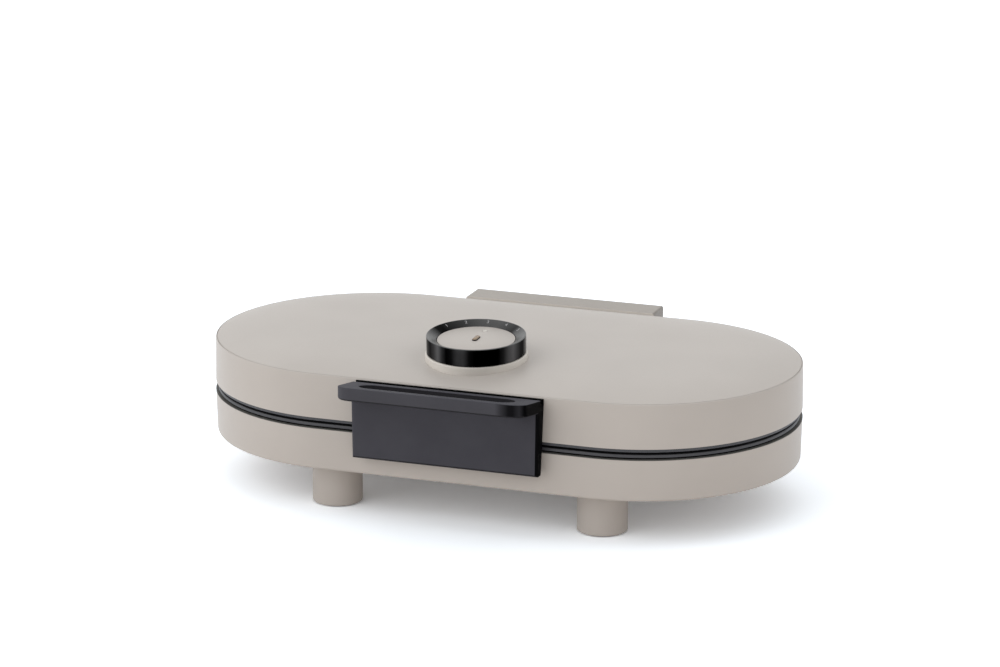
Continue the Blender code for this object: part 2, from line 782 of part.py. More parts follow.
def make_lid_shell():
    levels = [share * end_radius for share in crown_inset_shares]
    inner_top = lid_top - shell_wall
    outer = [stadium(0, lid_bottom), stadium(0, lid_top - lid_round),
             stadium(lid_round, lid_top + crown_height(lid_round))]
    outer += [stadium(inset, lid_top + crown_height(inset)) for inset in levels]
    inner = [stadium(shell_wall, lid_bottom), stadium(shell_wall, inner_top)]
    inner += [stadium(inset, inner_top + crown_height(inset)) for inset in levels]
    bm = bmesh.new()
    add_loft(bm, outer[::-1] + inner)
    shell = piece("lid_shell", bm, warm_grey, lid_axis, hinge_place)
    dial_hole = bmesh.new()
    frame = Matrix.Translation(dial_place) @ Matrix.Rotation(dial_tilt, 4, "X")
    hole_radius = collar_radius + collar_flare + fit_gap
    add_turned(dial_hole, rod_outline(hole_radius, floor_low - overrun, -ring_height), dial_steps, frame)
    cut(shell, tool("lid_dial_hole", dial_hole, lid_axis, hinge_place))
    holes = bmesh.new()
    for side in sides.values():
        for x, z in ((cover_boss_x, cover_boss_z), (arm_screw_x, arm_screw_z)):
            add_turned(holes, rod_outline(bore_radius, -shell_wall - overrun, overrun), screw_steps,
                       aim((side * x, rear_wall, z), (0, 1, 0)))
        add_turned(holes, rod_outline(bore_radius, -shell_wall - overrun, overrun), screw_steps,
                   aim((side * grip_boss_x, front_wall, grip_boss_z), (0, -1, 0)))
    cut(shell, tool("lid_wall_holes", holes, lid_axis, hinge_place))


def make_grip():
    """A plate in front of the seam, open at its back, under a ledge that rises towards the user."""
    back = front_wall - fit_gap
    plate_front = back - grip_plate_depth
    low = lid_bottom - grip_plate_drop
    ledge_top = lid_top - ledge_back_step
    front_top = ledge_top + ledge_slope * (back - grip_front)
    bm = bmesh.new()
    add_block(bm, (-grip_half_width, plate_front, low),
              (grip_half_width, back, ledge_top - ledge_thickness / 2))
    grip = piece("grip", bm, black_plastic, lid_axis, hinge_place)
    hollow = bmesh.new()
    add_block(hollow, (-grip_half_width + grip_wall, plate_front + grip_wall, low + grip_wall),
              (grip_half_width - grip_wall, back + overrun, ledge_top - ledge_thickness - overrun))
    cut(grip, tool("grip_hollow", hollow, lid_axis, hinge_place))

    ledge = bmesh.new()
    outline = [(back, ledge_top), (grip_front, front_top), (grip_front, front_top - ledge_thickness),
               (back, ledge_top - ledge_thickness)]
    add_prism(ledge, outline, "X", -grip_half_width, grip_half_width)
    corners = [edge for edge in ledge.edges
               if all(abs(vert.co.y - grip_front) < fit_gap for vert in edge.verts)
               and abs(edge.verts[0].co.x - edge.verts[1].co.x) < fit_gap]
    bmesh.ops.bevel(ledge, geom=corners, offset=ledge_corner, segments=ledge_corner_steps, profile=0.5,
                    affect="EDGES")
    join(grip, tool("grip_ledge", ledge, lid_axis, hinge_place))

    slot_front = grip_front + slot_front_wall
    slot_middle = slot_front + slot_depth / 2
    slot = bmesh.new()
    outline = [(x, slot_middle + y) for x, y in rounded_slot(slot_half_width, slot_depth / 2)]
    add_prism(slot, outline, "Z", ledge_top - 2 * ledge_thickness, front_top + overrun)
    cut(grip, tool("grip_slot", slot, lid_axis, hinge_place))

    bosses, holes = bmesh.new(), bmesh.new()
    for side in sides.values():
        place = (side * grip_boss_x, back, grip_boss_z)
        turned_out = aim(place, (0, -1, 0))
        add_turned(bosses, rod_outline(boss_radius, 0, grip_plate_depth - grip_wall / 2), screw_steps,
                   turned_out)
        add_turned(holes, rod_outline(bore_radius, -overrun, grip_plate_depth - 2 * grip_wall), screw_steps,
                   turned_out)
    join(grip, tool("grip_bosses", bosses, lid_axis, hinge_place))
    cut(grip, tool("grip_bores", holes, lid_axis, hinge_place))
    for label, side in sides.items():
        inside = front_wall + shell_wall + fit_gap + screw_head_height
        screw("grip_screw_" + label, (side * grip_boss_x, inside, grip_boss_z), (0, -1, 0),
              screw_head_height + shell_wall + screw_bite, steel, lid_axis, hinge_place)


# The dial's pieces are drawn about their own axis, with the ring's top at height zero
sleeve_radius = disc_radius - ring_clearance
sleeve_top = -(disc_drop + disc_thickness + fit_gap)
ring_inner = disc_radius + turn_gap
collar_inner = collar_radius - collar_wall
floor_top = -collar_floor_drop
floor_low = floor_top - collar_floor
driver_top = -driver_drop
driver_low = driver_top - driver_thickness
hub_bore_top = driver_top - driver_thickness / 4
spindle_bore = spindle_radius + fit_gap


def make_dial_collar():
    """A tube through the lid's top with a flange under it, a floor and a sleeve that the ring turns on."""
    base_radius = collar_radius + collar_flare
    top = -ring_height - fit_gap
    bm = bmesh.new()
    outline = [(spindle_bore, floor_low), (base_radius + collar_lip, floor_low),
               (base_radius + collar_lip, floor_top), (base_radius, floor_top),
               (base_radius, top - collar_flare_drop), (collar_radius, top), (collar_inner, top),
               (collar_inner, floor_top), (sleeve_radius, floor_top), (sleeve_radius, sleeve_top),
               (sleeve_radius - sleeve_wall, sleeve_top), (sleeve_radius - sleeve_wall, floor_top),
               (spindle_bore, floor_top)]
    add_turned(bm, outline, dial_steps)
    collar = piece("dial_collar", bm, warm_grey, dial_axis)
    window = bmesh.new()
    outer = sleeve_radius + sleeve_wall / 2
    spare = math.asin((driver_width / 2 + 2 * turn_gap) / (sleeve_radius - sleeve_wall))
    start = driver_rest_angle - dial_turn_down - spare
    end = driver_rest_angle + dial_turn_up + spare
    steps = dial_steps // 4
    inner = sleeve_radius - sleeve_wall * 3 / 2
    angles = [start + (end - start) * step / steps for step in range(steps + 1)]
    outline = [(outer * math.cos(a), outer * math.sin(a)) for a in angles]
    outline += [(inner * math.cos(a), inner * math.sin(a)) for a in angles[::-1]]
    add_prism(window, outline, "Z", floor_top + turn_gap, driver_top + 2 * turn_gap)
    cut(collar, tool("collar_window", window, dial_axis))


def make_dial_ring():
    """The turning ring: a rim, a sloping face for the numbers, a skirt and an arm to the spindle."""
    bm = bmesh.new()
    skirt_low = -ring_height - ring_skirt
    outline = [(ring_radius, 0), (ring_radius, -ring_height), (ring_radius - ring_wall, -ring_height),
               (ring_radius - ring_wall, -ring_roof), (ring_inner + ring_wall, -ring_roof - ring_rim),
               (ring_inner + ring_wall, skirt_low), (ring_inner, skirt_low), (ring_inner, -disc_drop),
               (ring_radius - ring_rim, 0)]
    add_turned(bm, outline, dial_steps)
    ring = piece("dial_ring", bm, gloss_black, dial_axis, smooth=True)
    driver = bmesh.new()
    add_block(driver, (0, -driver_width / 2, driver_low),
              (ring_inner + ring_wall / 2, driver_width / 2, driver_top))
    bmesh.ops.rotate(driver, verts=driver.verts, cent=(0, 0, 0),
                     matrix=Matrix.Rotation(driver_rest_angle, 3, "Z"))
    join(ring, tool("ring_driver", driver, dial_axis))
    hub = bmesh.new()
    hub_outline = rod_outline(hub_radius, driver_low - hub_height / 2, driver_top + turn_gap)
    add_turned(hub, hub_outline, inlet_steps)
    join(ring, tool("ring_hub", hub, dial_axis))
    bore = bmesh.new()
    add_turned(bore, rod_outline(spindle_bore, driver_low - hub_height, hub_bore_top), inlet_steps)
    cut(ring, tool("ring_bore", bore, dial_axis))


def make_dial_disc():
    bm = bmesh.new()
    top, low = -disc_drop, -disc_drop - disc_thickness
    edge = disc_thickness / 4
    add_turned(bm, [(0, top), (disc_radius - edge, top), (disc_radius, top - edge), (disc_radius, low),
                    (0, low)], dial_steps)
    disc = piece("dial_disc", bm, warm_grey, dial_axis, smooth=True)
    posts = bmesh.new()
    board_top = -lamp_board_drop
    for x, y in board_post_places():
        add_turned(posts, rod_outline(disc_post_radius, board_top + fit_gap, low + disc_thickness / 2),
                   screw_steps, Matrix.Translation((x, y, 0)))
    join(disc, tool("disc_posts", posts, dial_axis))
    holes = bmesh.new()
    slot = rounded_slot(power_lens_length / 2 + fit_gap, power_lens_width / 2 + fit_gap, lens_end_steps)
    add_prism(holes, [(y, x) for x, y in slot[::-1]], "Z", low - overrun, top + overrun)
    add_turned(holes, rod_outline(ready_lens_radius + fit_gap, low - overrun, top + overrun), screw_steps,
               Matrix.Translation((0, ready_lens_y, 0)))
    cut(disc, tool("disc_holes", holes, dial_axis))

    power = bmesh.new()
    slot = rounded_slot(power_lens_length / 2, power_lens_width / 2, lens_end_steps)
    add_prism(power, [(y, x) for x, y in slot[::-1]], "Z", low, top + lens_proud)
    piece("power_lens", power, amber, dial_axis)
    ready = bmesh.new()
    add_turned(ready, rod_outline(ready_lens_radius, low, top + lens_proud), screw_steps,
               Matrix.Translation((0, ready_lens_y, 0)))
    piece("ready_lens", ready, clear_lens, dial_axis, smooth=True)


def board_ends():
    """Where the lamp board starts and ends along the disc's middle line."""
    return -power_lens_length / 2 - lamp_board_margin, ready_lens_y + lamp_board_margin / 2


def board_post_places():
    low = board_ends()[0]
    inset = disc_post_radius + fit_gap
    return [(0, low + inset), (0, (ready_lens_y + power_lens_length / 2) / 2)]


def make_lamps():
    low, high = board_ends()
    top = -lamp_board_drop
    bm = bmesh.new()
    add_block(bm, (-lamp_board_half_width, low, top - lamp_board_thickness),
              (lamp_board_half_width, high, top))
    piece("lamp_board", bm, board_green, dial_axis)
    for name, y in (("power_lamp", 0), ("ready_lamp", ready_lens_y)):
        lamp = bmesh.new()
        lamp_top = -disc_drop - disc_thickness - fit_gap
        add_turned(lamp, rod_outline(lamp_radius, top + fit_gap, lamp_top), screw_steps,
                   Matrix.Translation((0, y, 0)))
        piece(name, lamp, clear_lens, dial_axis, smooth=True)


def make_thermostat():
    """The round switch under the collar's floor, its spindle and the rod that feels the plate."""
    top = floor_low - fit_gap
    low = top - thermostat_height
    spindle_low = top - thermostat_height / 2
    bm = bmesh.new()
    outline = [(0, low), (thermostat_radius, low), (thermostat_radius, top - thermostat_shoulder),
               (hub_radius + boss_wall, top), (spindle_bore, top), (spindle_bore, spindle_low - fit_gap),
               (0, spindle_low - fit_gap)]
    add_turned(bm, outline, inlet_steps)
    piece("thermostat", bm, white_block, dial_axis, smooth=True)
    spindle = bmesh.new()
    add_turned(spindle, rod_outline(spindle_radius, spindle_low, hub_bore_top - fit_gap), inlet_steps)
    piece("thermostat_spindle", spindle, steel, dial_axis, smooth=True)
    rod = bmesh.new()
    plate_top = lid_flange_low + flange_thickness + fit_gap
    rod_length = (dial_z + (low - fit_gap) * math.cos(dial_tilt) - plate_top) / math.cos(dial_tilt)
    rod_length -= sensor_radius * math.tan(dial_tilt)
    add_turned(rod, rod_outline(sensor_radius, low - fit_gap - rod_length, low - fit_gap), screw_steps)
    piece("sensor_rod", rod, steel, dial_axis, smooth=True)


def make_inlet():
    """The bush in the base's rear wall where the mains lead goes in."""
    inner_end = -shell_wall - fit_gap - inlet_flange_thickness
    outer_end = fit_gap + inlet_flange_thickness
    bm = bmesh.new()
    outline = [(inlet_bore, inner_end), (inlet_radius, inner_end), (inlet_radius, fit_gap),
               (inlet_flange, fit_gap), (inlet_flange, outer_end), (inlet_bore, outer_end)]
    add_turned(bm, outline, inlet_steps, aim(*rear_wall_place(inlet_x, inlet_z)))
    piece("inlet_bush", bm, black_plastic, body, smooth=True)


def make_terminals():
    low = base_floor_top + fit_gap
    y = rear_wall - shell_wall - terminal_wall_gap - terminal_half_depth
    bm = bmesh.new()
    add_block(bm, (terminal_x - terminal_half_length, y - terminal_half_depth, low),
              (terminal_x + terminal_half_length, y + terminal_half_depth, low + terminal_height))
    block = piece("terminal_block", bm, white_block, body)
    grooves = bmesh.new()
    pitch = 2 * terminal_half_length / terminal_count
    for step in range(terminal_count):
        x = terminal_x + (step - (terminal_count - 1) / 2) * pitch
        half_depth = terminal_half_depth + overrun
        add_block(grooves, (x - terminal_groove / 2, y - half_depth, low + terminal_height / 2),
                  (x + terminal_groove / 2, y + half_depth, low + terminal_height + overrun))
    cut(block, tool("terminal_grooves", grooves, body))


def make_thermal_fuse():
    """The one-shot cut-out that lies under the left lower tray."""
    tray_low = flange_top - mould_depth - plate_wall - tray_drop - tray_thickness
    bm = bmesh.new()
    add_turned(bm, rod_outline(fuse_radius, -fuse_length / 2, fuse_length / 2), screw_steps,
               aim((-mould_x, 0, tray_low - fit_gap - fuse_radius), (1, 0, 0)))
    piece("thermal_fuse", bm, steel, body, smooth=True)


make_base_shell()
make_feet()
make_bezel("base_bezel", bezel_low, 0, -1, base_inset + base_draft, dark_trim, body, (0, 0, 0))
make_cooking_half("lower", flange_top, -1, body, (0, 0, 0))
make_hinge_bracket()
make_inlet()
make_terminals()
make_thermal_fuse()
make_lid_shell()
make_bezel("lid_bezel", lid_bezel_low, flange_inset, 1, 0, dark_trim, lid_axis, hinge_place)
make_cooking_half("upper", lid_flange_low, 1, lid_axis, hinge_place)
make_lid_arms()
make_hinge_cover()
make_grip()
make_dial_collar()
make_dial_ring()
make_dial_disc()
make_lamps()
make_thermostat()
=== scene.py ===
# Looks of the double waffle maker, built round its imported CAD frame. Metres, Z up, grip towards -Y.

import math

import bmesh
import bpy
from mathutils import Matrix, Vector


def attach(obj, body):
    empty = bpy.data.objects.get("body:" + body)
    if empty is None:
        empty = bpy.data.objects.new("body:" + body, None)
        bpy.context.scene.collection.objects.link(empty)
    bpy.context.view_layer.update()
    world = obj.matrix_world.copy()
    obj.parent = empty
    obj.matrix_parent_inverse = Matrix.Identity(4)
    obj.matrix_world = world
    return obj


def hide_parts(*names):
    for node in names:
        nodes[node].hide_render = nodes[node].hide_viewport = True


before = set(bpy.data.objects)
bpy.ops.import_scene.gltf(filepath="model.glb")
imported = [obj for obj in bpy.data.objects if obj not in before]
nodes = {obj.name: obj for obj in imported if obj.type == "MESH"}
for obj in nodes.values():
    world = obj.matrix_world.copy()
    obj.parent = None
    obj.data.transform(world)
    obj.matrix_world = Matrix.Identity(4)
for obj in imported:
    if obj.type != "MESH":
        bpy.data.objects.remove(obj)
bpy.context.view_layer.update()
mm = 0.001
samePlace = 0.01 * mm  # places closer than this count as one
weldReach = 0.002 * mm
# how much of a face's normal points one way when the face looks straight or mostly there
straight, mostly = 0.99, 0.5
print("frame loaded:", len(nodes), "nodes")


# small tools for the work by hand

def deselectAll():
    if bpy.context.object and bpy.context.object.mode != "OBJECT":
        bpy.ops.object.mode_set(mode="OBJECT")
    bpy.ops.object.select_all(action="DESELECT")


def activate(piece):
    deselectAll()
    piece.select_set(True)
    bpy.context.view_layer.objects.active = piece


def startEdit(piece):
    activate(piece)
    bpy.ops.object.mode_set(mode="EDIT")
    bpy.ops.mesh.select_all(action="DESELECT")


def endEdit():
    bpy.ops.object.mode_set(mode="OBJECT")


def pick(piece, kind, test):
    # selects the verts, edges or faces that pass the test, in edit mode
    modes = {"verts": (True, False, False), "edges": (False, True, False),
             "faces": (False, False, True)}
    bpy.context.tool_settings.mesh_select_mode = modes[kind]
    bpy.ops.mesh.select_all(action="DESELECT")
    mesh = bmesh.from_edit_mesh(piece.data)
    mesh.normal_update()
    for item in getattr(mesh, kind):
        if test(item):
            item.select_set(True)
    mesh.select_flush_mode()
    bmesh.update_edit_mesh(piece.data)


def flatFace(z, up=1):
    # a test for the faces that lie at a height and look up, or down with -1
    return lambda face: abs(face.calc_center_median().z - z) < samePlace and face.normal.z * up > straight


def bothEnds(edge, test):
    return all(test(vert.co) for vert in edge.verts)


def staysAtOneX(edge):
    # true for an edge that doesn't run along the machine's length
    return abs(edge.verts[0].co.x - edge.verts[1].co.x) < mm


def nameAndPlace(name, matrix=None):
    # the piece just added gets its name, and its place goes into its mesh
    piece = bpy.context.object
    piece.name = name
    piece.data.name = name
    if matrix is not None:
        piece.matrix_world = matrix @ piece.matrix_world
    bpy.ops.object.transform_apply(location=True, rotation=True, scale=True)
    return piece


def applyModifier(piece, kind, **settings):
    activate(piece)
    change = piece.modifiers.new(kind.lower(), kind)
    for key, value in settings.items():
        setattr(change, key, value)
    bpy.ops.object.modifier_apply(modifier=change.name)


def carve(piece, cutter, operation="DIFFERENCE"):
    applyModifier(piece, "BOOLEAN", object=cutter, operation=operation, solver="EXACT")
    bpy.data.objects.remove(cutter)


def softenEdges(piece, width, segments=3, angle=30):
    applyModifier(piece, "BEVEL", width=width, segments=segments, limit_method="ANGLE",
                  angle_limit=math.radians(angle), use_clamp_overlap=True)


def tidyMesh(piece, angle=32):
    startEdit(piece)
    bpy.ops.mesh.select_all(action="SELECT")
    bpy.ops.mesh.remove_doubles(threshold=weldReach)
    bpy.ops.mesh.normals_make_consistent(inside=False)
    endEdit()
    bpy.ops.object.shade_smooth_by_angle(angle=math.radians(angle))


def joinInto(piece, others):
    activate(piece)
    for other in others:
        other.select_set(True)
    bpy.ops.object.join()


def addBox(name, low, high):
    deselectAll()
    middle = [(start + end) / 2 for start, end in zip(low, high)]
    size = [end - start for start, end in zip(low, high)]
    bpy.ops.mesh.primitive_cube_add(size=1, location=middle, scale=size)
    return nameAndPlace(name)


def addRod(name, radius, low, high, steps, matrix):
    deselectAll()
    bpy.ops.mesh.primitive_cylinder_add(vertices=steps, radius=radius, depth=high - low,
                                        location=(0, 0, (low + high) / 2))
    return nameAndPlace(name, matrix)


def roundOff(radius, height, size, shares, up=1):
    # the points of a turned piece's rounded edge, each as shares (inwards, up or down) of its size
    return [(radius - inwards * size, height + up * away * size) for inwards, away in shares]


def addTurned(name, outline, steps, matrix, closed=False):
    # a circle pulled through the (radius, height) points, as on a lathe, and capped or closed to a ring
    deselectAll()
    radius, height = outline[0]
    bpy.ops.mesh.primitive_circle_add(vertices=steps, radius=radius, location=(0, 0, height))
    piece = nameAndPlace(name)
    startEdit(piece)
    bpy.ops.mesh.select_all(action="SELECT")
    if not closed:
        bpy.ops.mesh.edge_face_add()
        bpy.ops.mesh.select_all(action="SELECT")
        bpy.context.tool_settings.mesh_select_mode = (False, True, False)
    points = outline[1:] + ([outline[0]] if closed else [])
    for nextRadius, nextHeight in points:
        bpy.ops.mesh.extrude_edges_move(
            TRANSFORM_OT_translate={"value": (0, 0, nextHeight - height)})
        share = nextRadius / radius
        bpy.ops.transform.resize(value=(share, share, 1), center_override=(0, 0, nextHeight))
        radius, height = nextRadius, nextHeight
    if not closed:
        bpy.ops.mesh.edge_face_add()
    endEdit()
    piece.matrix_world = matrix
    bpy.ops.object.transform_apply(location=True, rotation=True, scale=True)
    tidyMesh(piece)
    return piece


def pullApart(piece, distance, axis=0):
    # the two halves of a round piece move apart along X or Y, so it becomes a long one
    startEdit(piece)
    for side in (1, -1):
        way = [0, 0, 0]
        way[axis] = side * distance
        pick(piece, "verts", lambda vert: vert.co[axis] * side > 0)
        bpy.ops.transform.translate(value=way)
    endEdit()


def wear(piece, material, slot, body, *replaced):
    # gives a finished piece its material and its body, and hides the CAD nodes it stands for; the slot is
    # not used
    piece.data.materials.clear()
    piece.data.materials.append(material)
    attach(piece, body)
    if replaced:
        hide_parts(*replaced)


def wearPartly(piece, material, test):
    # the faces that pass the test get one more material
    piece.data.materials.append(material)
    for face in piece.data.polygons:
        if test(face):
            face.material_index = len(piece.data.materials) - 1


# materials

def hexToLinear(code):
    # the sRGB curve, for a code such as #bfb9b3
    channels = [int(code[start:start + 2], 16) / 255 for start in (1, 3, 5)]
    linear = [channel / 12.92 if channel <= 0.04045 else ((channel + 0.055) / 1.055) ** 2.4
              for channel in channels]
    return (*linear, 1)


def addNode(tree, kind, inputs=None, **settings):
    # a node with its settings, whose inputs are values or the sockets that feed them
    node = tree.nodes.new(kind)
    for key, value in settings.items():
        setattr(node, key, value)
    for key, value in (inputs or {}).items():
        socket = node.inputs[key]
        if isinstance(value, bpy.types.NodeSocket):
            tree.links.new(value, socket)
        else:
            socket.default_value = value
    return node


mixFirst, mixSecond, mixResult = 6, 7, 2  # a Mix node's sockets for colours
noiseLow, noiseHigh = 0.3, 0.7  # a Noise node's values mostly lie between these


def makeFinish(name, look):
    # colour drifts between two tones in patches, fine grain lifts the surface and breaks its gloss
    material = bpy.data.materials.new(name)
    material.use_nodes = True
    tree = material.node_tree
    shader = tree.nodes["Principled BSDF"]
    for key, value in look.get("shader", {}).items():
        shader.inputs[key].default_value = value
    place = addNode(tree, "ShaderNodeTexCoord").outputs["Object"]
    pulled = addNode(tree, "ShaderNodeMapping", {"Vector": place, "Scale": look.get("stretch", (1, 1, 1))})
    patches = addNode(tree, "ShaderNodeTexNoise", {"Vector": pulled.outputs[0], "Detail": 3,
                                                   "Scale": 1 / (look["patchMm"] * mm)})
    grain = addNode(tree, "ShaderNodeTexNoise", {"Vector": pulled.outputs[0], "Detail": 2,
                                                 "Scale": 1 / (look["grainMm"] * mm)})
    spread = addNode(tree, "ShaderNodeMapRange", {"Value": patches.outputs[0], "From Min": noiseLow,
                                                  "From Max": noiseHigh})
    colour = addNode(tree, "ShaderNodeMix", {"Factor": spread.outputs[0],
                                             mixFirst: hexToLinear(look["colour"]),
                                             mixSecond: hexToLinear(look["second"])}, data_type="RGBA")
    shown = colour.outputs[mixResult]
    if "fleck" in look:  # round dots with a soft rim
        fleck = look["fleck"]
        dots = addNode(tree, "ShaderNodeTexVoronoi", {"Vector": place,
                                                      "Scale": 1 / (fleck["pitchMm"] * mm)})
        inside = addNode(tree, "ShaderNodeMapRange", {"Value": dots.outputs["Distance"],
                                                      "From Min": fleck["size"],
                                                      "From Max": fleck["size"] * fleck["coreShare"]})
        colour = addNode(tree, "ShaderNodeMix", {"Factor": inside.outputs[0], mixFirst: shown,
                                                 mixSecond: hexToLinear(fleck["colour"])},
                         data_type="RGBA")
        shown = colour.outputs[mixResult]
    if "tones" in look:  # painted light and shade: the colour darkens along X or round a centre, its shine with it
        tones = look["tones"]
        moved = addNode(tree, "ShaderNodeMapping", {"Vector": place, "Location": tones["location"],
                                                    "Scale": tones["scale"]})
        along = addNode(tree, "ShaderNodeTexGradient", {"Vector": moved.outputs[0]},
                        gradient_type=tones["kind"])
        ramp = addNode(tree, "ShaderNodeValToRGB", {"Fac": along.outputs[1]})
        marks = ramp.color_ramp.elements
        for spot, level in tones["stops"]:
            mark = marks[0] if spot == 0 else marks[-1] if spot == 1 else marks.new(spot)
            mark.color = (level, level, level, 1)
        colour = addNode(tree, "ShaderNodeMix", {"Factor": 1, mixFirst: shown, mixSecond: ramp.outputs[0]},
                         data_type="RGBA", blend_type="MULTIPLY")
        shown = colour.outputs[mixResult]
        shine = addNode(tree, "ShaderNodeMath", {0: ramp.outputs[0],
                                                 1: shader.inputs["Specular IOR Level"].default_value},
                        operation="MULTIPLY")
        tree.links.new(shine.outputs[0], shader.inputs["Specular IOR Level"])
    tree.links.new(shown, shader.inputs["Base Color"])
    low, high = look["roughness"]
    rough = addNode(tree, "ShaderNodeMapRange", {"Value": grain.outputs[0], "From Min": noiseLow,
                                                 "From Max": noiseHigh, "To Min": low, "To Max": high})
    tree.links.new(rough.outputs[0], shader.inputs["Roughness"])
    bump = addNode(tree, "ShaderNodeBump", {"Height": grain.outputs[0], "Strength": 1,
                                            "Distance": look["grainHeightMm"] * mm})
    tree.links.new(bump.outputs[0], shader.inputs["Normal"])
    return material


# surfaces that several finishes share
fineGrain = {"patchMm": 30, "grainMm": 0.8}
sparkGrain = {"patchMm": 25, "grainMm": 0.7, "grainHeightMm": 0.012, "roughness": (0.58, 0.72)}
toolPolish = {"patchMm": 30, "grainMm": 3.0, "grainHeightMm": 0.002}
chalkyGrain = {"patchMm": 10, "grainMm": 0.8, "grainHeightMm": 0.015, "shader": {"IOR": 1.55}}
castAcrylic = {"patchMm": 3, "grainMm": 2, "grainHeightMm": 0.001, "shader": {"IOR": 1.49}}
dialAway = 54.1 * mm  # from the origin forwards to the dial's axis
paintedShadeReach = 20 * mm


def paintedShadeToRight(start, *stops):
    # painted shade: shares of the colour over the last stretch towards a piece's right end
    return {"kind": "LINEAR", "location": (-start / paintedShadeReach, 0, 0), "scale": (1 / paintedShadeReach, 1, 1),
            "stops": stops}


def paintedLightRoundDial(*stops):
    # painted light and shade: shares of the colour once round the dial, from its left by way of its front
    return {"kind": "RADIAL", "location": (0, dialAway, 0), "scale": (1, 1, 1), "stops": stops}


